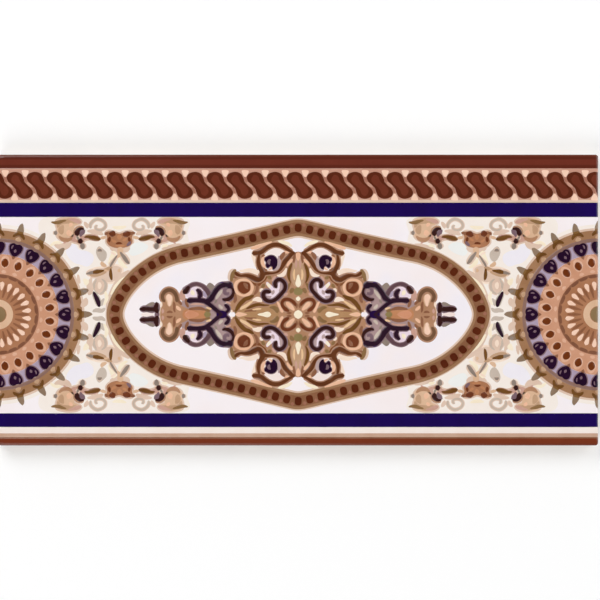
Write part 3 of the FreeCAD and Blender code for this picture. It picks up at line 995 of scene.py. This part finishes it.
        ((43.2, 6.9, 1.2), (43.1, 5.9, 2.0), (42.9, 4.8, 1.7), (42.9, 3.6, 1.0), (43.0, 2.6, 0.5)),
    ]},
    "spindle_hearts": {"screen": "spindle", "level": 0.055, "dome": 0.02, "mirrors": sideways, "paths": [
        ((33.0, 0.0, 0.8), (35.0, 0.0, 2.6), (36.6, 0.0, 3.0), (38.0, 0.0, 1.2)),
    ]},
    "cream_touches": {"screen": "cream", "level": 0.06, "dome": 0.05, "paths": [
        ((9.2, 8.9, 0.6), (9.8, 9.7, 1.1), (10.4, 10.5, 0.5)),
        ((2.0, 22.6, 0.5), (3.4, 23.5, 1.2), (5.2, 24.1, 1.2), (6.8, 24.5, 0.5)),
        ((34.6, 6.4, 0.6), (35.2, 7.2, 1.5), (35.4, 8.2, 0.6)),
    ]},
    "stars": {"screen": "cream", "level": 0.06, "mirrors": drawnWhole, "paths": [
        wholeOval(((0, 1.5), (0.6, 1.2), (1.05, 0.95), (1.3, 0.5), (1.5, 0))),
    ]},
    "axis_creams": {"screen": "cream", "level": 0.06, "dome": 0.05, "mirrors": upright, "paths": [
        ((0, 4.4, 0.8), (0, 5.2, 1.7), (0, 6.1, 0.7)),
        ((0, 9.0, 0.8), (0, 10.2, 2.0), (0, 11.4, 1.5), (0, 13.4, 0.5)),
    ]},
    "side_creams": {"screen": "cream", "level": 0.06, "dome": 0.05, "mirrors": sideways, "paths": [
        ((13.6, 0.0, 0.4), (11.8, 0.0, 1.2), (10.2, 0.0, 2.0), (9.0, 0.0, 1.2)),
    ]},
    "bar_roots": {"screen": "mauve", "level": 0.045, "mirrors": sideways, "paths": [
        wholeOutline(((47.9, 0), (47.6, 0.9), (46.6, 0.9), (46.2, 0))),
    ]},
    "axis_peaches": {"screen": "peach", "level": 0.05, "dome": 0.05, "mirrors": upright, "paths": [
        ((0, 17.8, 0.5), (0, 19.0, 1.5), (0, 20.0, 1.8), (0, 20.8, 1.0)),
    ]},
    "side_peaches": {"screen": "peach", "level": 0.05, "dome": 0.05, "mirrors": sideways, "paths": [
        ((21.0, 0.0, 0.7), (19.8, 0.0, 1.6), (18.4, 0.0, 1.2), (17.0, 0.0, 0.4)),
    ]},
    "bar_blushes": {"screen": "pink", "level": 0.05, "dome": 0.05, "mirrors": sideways, "paths": [
        ((47.8, 0.0, 0.5), (49.0, 0.0, 1.0), (50.6, 0.0, 1.7), (52.4, 0.0, 0.8)),
    ]},
    "petal_hearts": {"screen": "peach", "level": 0.055, "dome": 0.08, "paths": [
        ((1.2, 1.3, 0.7), (2.2, 2.3, 1.4), (3.2, 3.3, 1.6), (4.1, 4.1, 0.9)),
    ]},
    "outlines": {"run": ("runWarm", 0.5), "screen": "line", "level": 0.065, "dome": 0.09, "paths": [
        ((1.6, 20.8, 0.6), (3.0, 21.3, 1.1), (4.4, 22.2, 1.2), (6.2, 23.1, 1.4), (8.2, 23.2, 1.5),
         (9.8, 22.6, 1.5), (11.1, 21.8, 1.6), (12.3, 20.9, 1.7), (13.6, 20.5, 1.6), (15.5, 20.4, 1.2)),
        ((1.0, 20.7, 0.8), (2.2, 20.1, 1.4), (3.3, 19.0, 1.6), (4.3, 17.9, 1.7), (5.0, 16.6, 1.5),
         (5.7, 15.3, 1.1), (6.7, 14.3, 0.8), (8.0, 13.8, 0.7), (9.6, 13.7, 0.9), (11.0, 13.7, 1.4),
         (12.0, 13.0, 1.6)),
        ((12.9, 20.4, 0.6), (13.2, 19.0, 1.0), (13.3, 17.5, 1.3), (13.0, 16.2, 1.5), (12.4, 15.0, 1.7),
         (11.8, 13.7, 1.9), (12.4, 12.2, 1.9), (13.6, 11.6, 1.9), (14.9, 12.1, 1.9), (16.2, 12.7, 1.6),
         (17.6, 13.0, 1.1), (19.2, 12.9, 0.9), (20.4, 13.4, 1.2), (21.2, 14.2, 0.9)),
    ]},
    "olive_outlines": {"run": ("runWarm", 0.45), "screen": "oliveLine",
                       "level": 0.07, "dome": 0.09, "paths": [
        ((2.0, 17.2, 0.5), (2.6, 15.9, 1.0), (3.1, 14.4, 1.2), (3.2, 12.9, 1.1), (2.9, 11.5, 0.7),
         (2.4, 10.4, 0.4)),
        ((14.7, 6.5, 0.6), (16.2, 5.6, 1.4), (17.6, 5.1, 1.5), (18.7, 4.2, 1.6), (19.6, 3.2, 1.5),
         (20.3, 2.1, 1.3), (20.9, 0.9, 0.7)),
        ((9.6, 3.1, 0.4), (11.4, 3.1, 0.7), (13.2, 3.3, 1.1), (14.8, 3.0, 1.2), (16.2, 2.4, 0.9),
         (17.4, 1.8, 0.4)),
    ]},
    "knob_outlines": {"run": ("runWarm", 0.55), "screen": "darkLine", "level": 0.07, "dome": 0.09, "paths": [
        ((40.7, 4.1, 0.7), (40.4, 4.9, 1.4), (40.6, 6.0, 1.3), (41.1, 7.1, 1.4), (42.0, 7.9, 1.4),
         (43.1, 8.2, 1.4), (44.2, 7.8, 1.4), (45.0, 6.9, 1.3), (45.3, 5.9, 1.3), (45.0, 4.9, 1.2),
         (44.4, 4.1, 0.7)),
    ]},
    "quatrefoil": {"run": ("runWarm", 0.4), "screen": "rust", "level": 0.07, "dome": 0.09, "paths": [
        ((0.9, 2.7, 0.5), (1.2, 3.7, 1.3), (2.2, 4.6, 1.2), (3.5, 5.1, 1.2), (4.8, 4.8, 1.3),
         (5.4, 3.8, 1.2), (5.0, 2.6, 1.2), (4.0, 1.6, 1.4), (2.9, 1.1, 0.6)),
    ]},
    "scrolls": {"run": ("runCool", 0.45), "screen": "umber", "level": 0.075, "dome": 0.09, "paths": [
        ((7.0, 8.8, 0.7), (7.6, 9.6, 1.3), (7.7, 10.5, 1.4), (7.2, 11.3, 1.3), (6.3, 11.7, 1.3),
         (5.3, 11.3, 1.3), (4.6, 10.5, 1.3), (4.3, 9.6, 1.3), (4.4, 8.6, 1.3), (4.9, 7.7, 1.3),
         (5.6, 6.9, 1.3), (6.4, 6.0, 1.3), (7.4, 5.1, 1.3), (8.5, 4.5, 1.3), (9.6, 4.4, 1.3),
         (10.7, 4.8, 1.4), (11.4, 5.6, 1.4), (11.7, 6.5, 1.4), (11.4, 7.3, 1.4), (10.7, 7.7, 1.3),
         (9.8, 7.6, 1.2), (9.0, 7.2, 0.6)),
        ((22.6, 9.4, 0.9), (21.8, 8.4, 0.9), (21.6, 7.2, 1.0), (22.2, 5.9, 1.3), (23.3, 5.1, 1.4),
         (24.5, 4.9, 1.1), (25.4, 5.3, 0.5)),
        ((47.2, 4.2, 0.8), (47.2, 3.2, 1.4), (47.4, 2.1, 2.0), (47.1, 1.1, 1.5), (46.7, 0.4, 0.9)),
        ((47.4, 1.8, 2.0), (49.0, 1.7, 1.8), (50.8, 1.8, 1.8), (52.0, 1.8, 1.4), (53.0, 1.8, 0.6)),
        ((36.0, 9.6, 0.7), (36.8, 8.8, 1.5), (37.6, 7.8, 1.9), (38.2, 6.8, 1.7)),
    ]},
    "volute_wedges": {"screen": "slate", "level": 0.05, "paths": [
        ((27.9, 9.2), (28.4, 10.0), (29.5, 10.6), (30.4, 9.8), (30.9, 8.6), (30.4, 7.2), (29.6, 6.2),
         (28.8, 7.2)),
    ]},
    "arch_lines": {"run": ("runCool", 0.3), "screen": "archLine", "level": 0.07, "dome": 0.08, "paths": [
        ((37.6, 7.9, 1.2), (36.7, 8.9, 1.2), (35.7, 9.7, 1.2), (34.4, 10.1, 1.2), (33.0, 9.9, 1.2),
         (31.6, 9.2, 1.3), (30.5, 8.1, 1.5), (29.8, 7.0, 1.8), (29.3, 6.0, 1.4)),
    ]},
    "volute_cores": {"run": ("runCool", 0.3), "screen": "mauve", "level": 0.065, "dome": 0.08, "paths": [
        ((23.6, 8.6, 0.6), (24.5, 8.3, 0.8), (24.4, 7.2, 1.0), (23.6, 6.8, 0.8), (22.9, 7.4, 0.5)),
    ]},
    "arms": {"run": ("runCool", 0.4), "screen": "arm", "level": 0.08, "dome": 0.09, "paths": [
        ((30.8, 4.3, 1.2), (29.8, 4.8, 2.0), (29.0, 5.6, 2.2), (28.4, 6.6, 1.9), (27.7, 7.7, 1.9),
         (26.9, 8.7, 1.9), (26.0, 9.5, 1.9), (24.9, 9.8, 1.8), (23.8, 9.8, 1.9), (22.8, 9.6, 2.6),
         (22.1, 8.7, 1.5)),
        ((34.2, 8.2, 0.6), (33.4, 8.0, 1.1), (32.7, 7.1, 1.6), (32.7, 6.2, 1.4), (33.4, 5.2, 1.1)),
        ((25.0, -0.4, 1.4), (26.4, 0.7, 1.5), (27.7, 1.8, 1.4), (29.0, 2.9, 1.4), (30.2, 3.8, 1.5),
         (31.4, 4.5, 1.6), (33.0, 4.7, 1.6), (34.8, 4.7, 1.5), (36.3, 4.6, 1.7), (37.2, 4.4, 0.9)),
        ((25.2, -0.4, 1.3), (24.2, 0.5, 1.0), (23.2, 1.6, 1.1), (23.7, 2.7, 1.3), (24.7, 3.3, 0.7)),
    ]},
    "crossings": {"screen": "scroll", "level": 0.13, "mirrors": sideways, "paths": [
        wholeOutline(((27.3, 0), (26.8, 0.9), (26.0, 1.3), (25.2, 1.3), (24.3, 1.0), (23.7, 0))),
    ]},
    "violet_touches": {"screen": "violet", "level": 0.07, "dome": 0.03, "paths": [
        ((29.4, 5.4, 0.5), (30.0, 5.0, 1.2), (31.0, 4.9, 0.6)),
        ((24.6, 10.5, 0.4), (25.6, 10.5, 0.8), (26.6, 10.1, 0.4)),
    ]},
    "lavender_touches": {"screen": "lavender", "level": 0.045, "dome": 0.04, "paths": [
        ((30.7, 5.6, 0.7), (31.1, 6.6, 1.4), (31.7, 7.9, 0.7)),
        ((23.2, 0.0, 0.5), (23.7, 0.6, 0.8), (24.4, 1.6, 0.4)),
    ]},
    "beige_touches": {"screen": "beige", "level": 0.05, "dome": 0.04, "paths": [
        ((25.3, 8.3, 0.6), (26.0, 7.3, 1.2), (26.9, 6.0, 1.1), (27.5, 5.0, 0.5)),
        ((25.0, 2.0, 0.5), (25.8, 2.4, 1.1), (26.5, 3.4, 0.6)),
    ]},
    "slate_touches": {"screen": "slate", "level": 0.04, "dome": 0.06, "paths": [
        ((47.8, 3.9, 0.7), (49.0, 3.4, 1.4), (50.4, 3.0, 0.7), (51.2, 2.8, 0.3)),
        ((27.0, 4.9, 0.4), (27.4, 4.4, 0.9), (27.9, 3.6, 0.4)),
    ]},
}


def makeOrnament(prefix, layers):
    # each layer is one screen's share of an ornament, mirrored to its four quarters
    for name, layer in layers.items():
        title = prefix + "_" + name
        paths = layer["paths"]
        isFill = len(paths[0][0]) == 2
        closed = layer.get("closed", False)
        mirrors = layer.get("mirrors", quarter)
        if "run" in layer:
            # fired colour runs a little past its line, and paler
            paler, reach = layer["run"]
            widened = [[(spot[0], spot[1], 2 * reach + (0 if isFill else spot[2])) for spot in path]
                       for path in paths]
            enamelPiece(title + "_run", paler, widened, level=layer["level"] - 0.02, dome=0.004, step=0.45,
                        closed=isFill or closed, mirrors=mirrors)
        enamelPiece(title, layer["screen"], paths, "fill" if isFill else "line", level=layer["level"],
                    dome=layer.get("dome", 0.09), step=layer.get("step", 0.35), closed=closed,
                    mirrors=mirrors)


makeOrnament("arabesque", arabesque)
print("arabesque laid")

# Corner sprays, the upper right one, between the oval and the medallion
spraysMiddle = 59.55


def twins(paths):
    # the same paths again, mirrored about the middle of a spray
    return paths + [tuple((2 * spraysMiddle - spot[0],) + tuple(spot[1:]) for spot in path) for path in paths]


sprays = {
    "broad_washes": {"screen": "creamWash", "level": 0.01, "step": 0.6, "mirrors": sideways, "paths": [
        wholeOutline(((74, 0), (75, 7), (78, 14), (83, 20.5), (85, 23.5), (84.6, 32.2), (60, 32.5),
                      (38, 32.4), (36.9, 27), (36.4, 22), (40, 20.6), (49, 17.4), (55.4, 13.4), (59.6, 9),
                      (61.8, 4), (62, 0))),
    ]},
    "tan_washes": {"run": ("blush", 0.7), "screen": "runPale", "level": 0.03, "paths": [
        ((58.8, 15.2), (60.6, 16.2), (62.4, 16.0), (64.2, 15.6), (67.4, 15.2), (70.2, 14.0), (69.0, 12.9),
         (66.0, 12.7), (63.4, 10.8), (61.2, 11.2), (59.4, 13.0)),
    ]},
    "shadow_washes": {"run": ("runPale", 0.6), "screen": "rose", "level": 0.03, "paths": twins([
        ((74.8, 26.8), (73.8, 26.4), (71.6, 26.2), (69.6, 26.4), (67.4, 26.6), (67.4, 25.0), (69.6, 25.2),
         (71.4, 24.6), (72.2, 23.0), (73.4, 23.8), (75.4, 24.4), (76.2, 25.4)),
    ])},
    "frost_washes": {"screen": "frost", "level": 0.018, "paths": [
        ((77.4, 21.0), (76.2, 23.0), (74.4, 23.4), (73.0, 21.6), (70.6, 21.2), (68.4, 19.8), (68.4, 17.6),
         (70.2, 16.0), (72.6, 16.6), (74.6, 17.2), (76.4, 18.8)),
    ]},
    "mist_washes": {"screen": "mist", "level": 0.018, "paths": [
        ((50, 22.8), (52, 24.0), (54.6, 23.8), (56, 22.6), (56.4, 20.8), (55.4, 19.6), (53.2, 20.0),
         (51, 21.2)),
    ]},
    "cream_washes": {"screen": "cream", "level": 0.018, "dome": 0.03, "paths": [
        ((61.4, 22.0, 0.6), (61.4, 20.4, 1.9), (62.4, 18.6, 1.3), (63.4, 16.8, 0.5)),
        ((59.8, 19.0, 0.5), (59.2, 17.4, 1.6), (57.8, 16.0, 1.2), (56.8, 15.6, 0.5)),
        ((71.6, 12.0, 0.5), (70.4, 10.6, 2.2), (69.4, 9.4, 0.6)),
        ((78.6, 23.2, 0.5), (80.0, 23.8, 1.6), (81.6, 23.6, 1.2), (82.8, 22.6, 0.4)),
        ((43.2, 22.8, 0.4), (44.4, 23.0, 1.2), (45.6, 22.6, 0.5)),
        ((57.2, 29.4, 0.5), (58.8, 29.0, 1.2), (60.4, 28.9, 1.2), (62.0, 29.2, 0.5)),
        ((64.6, 8.0, 0.6), (63.8, 5.6, 1.4), (64.8, 3.0, 0.6)),
        ((57.0, 12.8, 0.5), (59.0, 11.2, 1.4), (61.0, 9.0, 1.4), (62.6, 6.4, 0.6)),
    ]},
    "glow_washes": {"screen": "runPale", "level": 0.02, "dome": 0.01, "paths": [
        ((63.6, 0.6, 0.9), (63.6, 3.2, 1.1), (62.6, 6.8, 1.2), (60.8, 10.3, 1.5), (58.7, 12.9, 1.7),
         (56.2, 14.6, 0.9)),
        ((38.6, 23.4, 0.5), (40.8, 22.9, 1.6), (43.4, 22.3, 1.5), (45.6, 21.8, 0.5)),
    ]},
    "lens_washes": {"screen": "paleLeaf", "level": 0.038, "dome": 0.01, "paths": [
        ((61.9, 15.8, 0.6), (62.9, 15.4, 1.4), (64.2, 14.9, 1.2), (65.2, 14.6, 0.5)),
        ((63.8, 14.4, 0.8), (65.6, 13.8, 1.7), (67.6, 13.3, 1.8), (69.6, 13.1, 0.9)),
    ]},
    "beige_washes": {"screen": "beige", "level": 0.02, "dome": 0.01, "paths": [
        ((64.3, 2.2, 0.6), (65.4, 1.3, 1.5), (67.2, 1.4, 1.5), (68.6, 1.0, 0.8)),
        ((64.6, 5.4, 0.5), (65.4, 4.2, 1.2), (65.4, 2.8, 0.6)),
    ]},
    "pink_washes": {"screen": "runPale", "level": 0.018, "dome": 0.03, "paths": twins([
        ((70.4, 27.8, 0.6), (68.6, 27.7, 1.5), (66.6, 27.3, 1.7), (64.9, 26.6, 0.8)),
        ((71.4, 30.9, 0.6), (70.6, 29.8, 1.5), (70.2, 28.6, 0.6)),
    ]) + [
        ((72.8, 2.4, 0.8), (71.2, 3.8, 2.4), (70.6, 5.6, 1.0)),
        ((73.4, 13.4, 0.6), (73.2, 11.8, 1.2), (72.8, 10.2, 0.6)),
        ((75.6, 24.0, 0.8), (77.2, 22.9, 2.4), (79.4, 22.6, 2.2), (81.4, 23.6, 1.0)),
        ((56.0, 22.2, 0.6), (57.4, 21.4, 1.5), (59.4, 21.4, 1.7), (61.2, 21.4, 1.5), (62.8, 22.2, 0.6)),
        ((68.8, 12.2, 0.6), (69.6, 10.2, 2.0), (69.3, 8.2, 2.3), (69.8, 6.4, 1.1)),
        ((64.6, 8.4, 0.8), (65.6, 7.4, 1.8), (66.2, 6.4, 0.8)),
        ((63.4, 13.2, 0.5), (65.2, 12.5, 1.8), (67.6, 12.6, 1.4), (69.4, 12.2, 0.5)),
        ((61.0, 16.0, 0.4), (60.2, 15.0, 1.5), (59.6, 13.6, 1.0), (60.4, 12.2, 0.4)),
    ]},
    "roses": {"run": ("greyLine", 0.4), "screen": "runPale", "level": 0.03, "paths": [
        ((68.2, 9.8), (67.6, 11.4), (66.2, 11.9), (64.8, 11.2), (64.1, 9.6), (64.8, 7.8), (66.2, 7.0),
         (67.6, 8.0)),
    ]},
    "grey_leaves": {"screen": "beige", "level": 0.03, "paths": [
        ((67.0, 22.2), (66.2, 22.7), (65.0, 21.8), (63.9, 20.6), (63.9, 19.0), (64.8, 17.7), (66.0, 17.9),
         (67.0, 19.4), (67.4, 20.9)),
    ]},
    "sand_washes": {"screen": "sand", "level": 0.03, "dome": 0.03, "paths": twins([
        ((63.9, 25.9, 0.5), (65.0, 25.6, 1.2), (66.2, 25.4, 0.5)),
    ]) + [
        ((65.6, 17.7, 0.7), (65.2, 16.7, 1.5), (63.8, 16.0, 0.8)),
        ((59.4, 15.3, 0.5), (59.8, 14.7, 1.2), (59.4, 14.0, 0.5)),
        ((62.9, 14.7, 0.7), (64.2, 14.7, 1.1), (65.6, 14.5, 0.5)),
        ((59.2, 22.6, 2.4), (59.3, 21.4, 2.4), (59.6, 20.0, 1.6), (60.4, 18.8, 0.7)),
    ]},
    "blossoms": {"run": ("runPale", 0.6), "screen": "sand", "level": 0.03, "paths": twins([
        ((72.4, 31.0), (74.0, 32.0), (76.4, 32.3), (78.6, 32.0), (80.4, 31.4), (80.7, 30.0), (80.3, 28.4),
         (80.6, 27.0), (79.8, 25.4), (77.8, 24.5), (75.9, 24.9), (74.9, 26.2), (74.6, 28.0), (74.6, 29.4),
         (73.4, 29.9)),
    ])},
    "ring_hearts": {"screen": "blush", "level": 0.045, "dome": 0.02, "paths": [
        ((66.4, 10.9, 0.6), (66.2, 9.7, 1.5), (66.4, 8.4, 0.8)),
        ((60.4, 19.4, 0.3), (61.4, 20.2, 0.8), (62.6, 20.9, 0.4)),
    ]},
    "blossom_hearts": {"screen": "peach", "level": 0.045, "dome": 0.03, "paths": twins([
        ((76.8, 28.2, 0.8), (76.4, 27.2, 2.0), (76.3, 26.0, 1.2)),
        ((75.0, 30.6, 0.5), (75.8, 30.0, 1.4), (76.2, 29.2, 0.6)),
    ])},
    "blossom_shades": {"screen": "paleLeaf", "level": 0.042, "dome": 0.02, "paths": twins([
        ((73.2, 30.7, 1.0), (75.2, 31.1, 1.9), (77.4, 31.1, 1.9), (79.4, 30.4, 1.4), (80.3, 28.9, 0.8)),
        ((78.2, 29.8, 0.7), (79.0, 28.4, 2.1), (78.8, 26.6, 1.3)),
    ])},
    "blossom_feet": {"screen": "ground", "level": 0.05, "dome": 0.04, "paths": twins([
        ((75.2, 26.0, 0.5), (76.0, 25.2, 1.2), (77.4, 24.8, 1.6), (78.8, 25.2, 1.3), (79.8, 26.2, 0.5)),
    ])},
    "blossom_roses": {"screen": "rose", "level": 0.05, "dome": 0.05, "paths": twins([
        ((72.3, 30.6, 0.8), (73.5, 31.0, 1.6), (75.0, 31.5, 1.2), (76.8, 31.8, 0.5)),
        ((78.3, 23.6, 0.4), (77.6, 24.2, 0.8), (77.0, 24.7, 0.5)),
    ])},
    "blossom_edges": {"screen": "khaki", "level": 0.055, "dome": 0.08, "paths": twins([
        ((77.2, 31.4, 0.4), (78.6, 31.1, 1.1), (79.9, 30.7, 1.4), (81.2, 30.6, 1.0), (82.4, 30.8, 0.4)),
    ])},
    "slate_dabs": {"run": ("runPale", 0.6), "screen": "slate", "level": 0.05, "dome": 0.08, "paths": twins([
        ((80.6, 28.0, 0.6), (80.9, 27.2, 1.3), (80.6, 26.4, 0.7)),
        ((73.9, 26.2, 0.5), (73.4, 25.4, 0.8), (73.2, 24.8, 0.5)),
        ((72.2, 23.9, 0.9), (71.9, 22.9, 1.8), (71.8, 21.6, 0.9)),
    ]) + [
        ((59.4, 21.0, 0.5), (58.9, 20.2, 0.9), (57.9, 18.9, 1.4), (57.0, 17.6, 1.2), (56.2, 16.8, 0.4)),
        ((60.3, 19.8, 0.4), (61.2, 18.4, 0.7), (62.1, 17.0, 0.8), (62.7, 15.8, 0.6)),
        ((72.9, 8.0, 0.8), (71.5, 7.7, 1.5), (70.2, 8.0, 0.7)),
        ((67.4, 14.3, 0.5), (69.0, 13.9, 1.2), (70.8, 13.5, 0.4)),
        ((65.4, 21.0, 0.4), (66.2, 21.5, 1.2), (66.9, 21.0, 0.5)),
    ]},
    "buds": {"run": ("runWarm", 0.6), "screen": "umber", "level": 0.06, "dome": 0.08, "paths": twins([
        ((71.3, 28.4, 0.6), (72.4, 28.6, 1.1), (73.3, 28.1, 1.6), (73.7, 27.1, 2.0), (73.5, 26.1, 0.9)),
        ((72.3, 25.4, 0.8), (72.6, 24.5, 1.9), (72.3, 23.5, 1.1)),
    ])},
    "bud_hearts": {"screen": "mauve", "level": 0.05, "dome": 0.05, "paths": twins([
        ((71.0, 28.2, 0.6), (71.8, 27.6, 1.8), (72.4, 26.7, 1.3), (72.5, 25.8, 0.5)),
    ])},
    "lens_leaves": {"run": ("ground", 0.3), "screen": "oliveLine",
                    "level": 0.04, "dome": 0.09, "paths": twins([
        ((65.8, 25.0, 0.6), (67.2, 25.3, 1.5), (68.4, 25.6, 1.7), (70.2, 25.9, 1.0), (71.4, 25.7, 0.5)),
    ]) + [
        ((64.6, 14.7, 0.5), (66.2, 14.4, 1.3), (67.4, 14.2, 1.6), (69.4, 13.8, 0.6)),
        ((62.5, 15.4, 0.6), (62.5, 13.8, 1.2), (62.4, 12.6, 1.2), (62.1, 11.3, 0.5)),
    ]},
    "dark_leaves": {"run": ("beige", 0.4), "screen": "arm", "level": 0.04, "dome": 0.09, "paths": [
        ((68.3, 7.7, 0.6), (67.7, 6.4, 1.3), (67.1, 5.2, 1.6), (66.6, 3.9, 1.6), (66.3, 2.4, 0.8)),
    ]},
    "tulips": {"run": ("runPale", 0.6), "screen": "sienna", "level": 0.035, "paths": [
        ((64.2, 27.2), (63.0, 27.8), (61.4, 27.4), (59.6, 26.9), (57.8, 27.5), (56.0, 27.7), (55.0, 27.1),
         (55.4, 25.6), (55.2, 24.2), (56.2, 22.9), (57.8, 22.3), (59.6, 22.1), (61.4, 22.3), (63.0, 23.0),
         (63.9, 24.2), (63.7, 25.7)),
    ]},
    "tulip_hearts": {"screen": "coral", "level": 0.045, "dome": 0.05, "paths": [
        ((59.6, 26.8, 0.7), (59.6, 25.8, 1.8), (59.5, 24.8, 0.8)),
        ((58.6, 24.6, 0.6), (57.8, 24.9, 1.0), (57.2, 25.6, 0.5)),
        ((60.6, 24.4, 0.6), (61.5, 24.4, 1.0), (62.2, 25.2, 0.5)),
        ((57.8, 22.9, 0.4), (59.4, 22.9, 0.8), (61.0, 22.9, 0.4)),
    ]},
    "tulip_ears": {"screen": "softLine", "level": 0.05, "dome": 0.05, "paths": [
        ((54.2, 27.2, 0.5), (55.3, 27.1, 1.2), (56.2, 26.7, 0.9)),
        ((64.4, 26.4, 0.5), (64.0, 27.0, 1.1), (63.2, 27.2, 0.8)),
    ]},
    "tulip_mauves": {"screen": "mauve", "level": 0.045, "dome": 0.05, "paths": [
        ((55.9, 24.6, 0.6), (56.3, 23.6, 1.2), (57.3, 22.9, 0.6)),
    ]},
    "tulip_shades": {"screen": "rust", "level": 0.05, "dome": 0.07, "paths": [
        ((55.7, 27.0, 0.9), (57.2, 26.8, 2.2), (58.5, 26.3, 1.3)),
        ((63.2, 27.0, 0.7), (61.9, 26.9, 2.4), (60.9, 26.4, 1.4)),
        ((56.4, 25.9, 0.5), (56.3, 24.9, 1.1), (56.0, 24.2, 0.4)),
        ((62.7, 26.0, 0.5), (63.0, 24.9, 1.2), (62.9, 24.0, 0.4)),
        ((58.6, 23.6, 0.4), (59.8, 23.8, 0.9), (60.9, 23.5, 0.4)),
    ]},
    "curls": {"run": ("runPale", 0.35), "screen": "greyLine", "level": 0.035, "dome": 0.08, "paths": twins([
        ((69.1, 28.6, 0.5), (69.3, 29.8, 0.8), (68.5, 31.0, 0.8), (67.2, 31.7, 0.8), (65.8, 31.5, 0.7),
         (64.6, 30.7, 0.7), (64.2, 29.5, 0.7), (64.9, 28.5, 0.7), (66.1, 28.1, 0.7), (67.3, 28.4, 0.7),
         (67.5, 29.3, 0.6), (66.8, 29.8, 0.4)),
    ]) + [
        ((67.2, 11.5, 0.4), (68.0, 10.2, 0.9), (67.9, 8.6, 0.6)),
        ((65.6, 11.9, 0.4), (64.4, 10.8, 0.8), (64.2, 9.2, 0.9), (64.9, 7.6, 0.8), (66.2, 6.8, 0.5)),
    ]},
}
makeOrnament("spray", sprays)
print("corner sprays laid")

# Floor, light and camera: the camera looks straight down on the face
studio = {
    "floorSize": 8.0,
    "floorColour": (0.74, 0.74, 0.74, 1),
    "floorTint": (0.71, 0.71, 0.72, 1),
    "tintPatches": (400, 2, 0.3, 0.7, 0.04),
    "floorRoughness": 0.9,
    "floorGlow": 0.295,
    "skyHorizon": 0.75,
    "skyZenith": 0.04,
    "skySpan": (0.15, 0.85),
    "lampDistance": 1.3,
    "lampSize": 0.9,
    # name, power, azimuth, elevation
    "lamps": (
        ("key_softbox", 7.2, 125, 48),
        ("fill_softbox_right", 5.6, 20, 46),
        ("fill_softbox_low", 5.6, 250, 46),
    ),
    "cameraLens": 200.0,
    "cameraSensor": 36.0,
    "frameWidth": 200.0,     # millimetres of the face across the picture
    "frameX": 0.60,
    "frameY": 0.02,
}


def makeFloor():
    half = studio["floorSize"] / 2
    mesh = bpy.data.meshes.new("floor")
    corners = [(-half, -half, 0), (half, -half, 0), (half, half, 0), (-half, half, 0)]
    mesh.from_pydata(corners, [], [(0, 1, 2, 3)])
    floor = bpy.data.objects.new("floor", mesh)
    bpy.context.scene.collection.objects.link(floor)
    material, tree, shader, where = startMaterial("pale_floor")
    faint = patchMask(tree, where, studio["tintPatches"])
    tint = blendColours(tree, faint, studio["floorColour"], studio["floorTint"])
    tree.links.new(tint, shader.inputs["Base Color"])
    shader.inputs["Roughness"].default_value = studio["floorRoughness"]
    shader.inputs["Specular IOR Level"].default_value = 0.0
    shader.inputs["Emission Color"].default_value = (1, 1, 1, 1)
    rays = addNode(tree, "ShaderNodeLightPath").outputs
    seen = calculate(tree, "MAXIMUM", rays["Is Camera Ray"], rays["Is Glossy Ray"])
    seen = calculate(tree, "MAXIMUM", seen, rays["Is Transmission Ray"])
    tree.links.new(calculate(tree, "MULTIPLY", seen, studio["floorGlow"]), shader.inputs["Emission Strength"])
    mesh.materials.append(material)


def makeSky():
    # bright round the horizon and dim overhead, so that the glaze mirrors no glare
    world = bpy.data.worlds.new("studio_sky")
    bpy.context.scene.world = world
    world.use_nodes = True
    tree = world.node_tree
    background = tree.nodes["Background"]
    direction = addNode(tree, "ShaderNodeTexCoord").outputs["Generated"]
    up = addNode(tree, "ShaderNodeSeparateXYZ", {0: direction}).outputs["Z"]
    strength = spread(tree, up, *studio["skySpan"], studio["skyHorizon"], studio["skyZenith"])
    tree.links.new(strength, background.inputs["Strength"])
    background.inputs["Color"].default_value = (1, 1, 1, 1)


def addLamp(name, power, azimuth, elevation):
    data = bpy.data.lights.new(name, "AREA")
    data.shape = "DISK"
    data.size = studio["lampSize"]
    data.energy = power
    lamp = bpy.data.objects.new(name, data)
    around, up = math.radians(azimuth), math.radians(elevation)
    spot = Vector((math.cos(around) * math.cos(up), math.sin(around) * math.cos(up), math.sin(up)))
    lamp.location = spot * studio["lampDistance"]
    lamp.rotation_euler = spot.to_track_quat("Z", "Y").to_euler()
    bpy.context.scene.collection.objects.link(lamp)


def makeCamera():
    data = bpy.data.cameras.new("camera")
    data.lens = studio["cameraLens"]
    data.sensor_width = studio["cameraSensor"]
    camera = bpy.data.objects.new("camera", data)
    distance = studio["frameWidth"] * mm * studio["cameraLens"] / studio["cameraSensor"]
    camera.location = (studio["frameX"] * mm, studio["frameY"] * mm, tile["thickness"] * mm + distance)
    bpy.context.scene.collection.objects.link(camera)
    bpy.context.scene.camera = camera


makeFloor()
makeSky()
for name, power, azimuth, elevation in studio["lamps"]:
    addLamp(name, power, azimuth, elevation)
makeCamera()
bpy.context.scene.view_settings.view_transform = "Standard"
print("studio set")
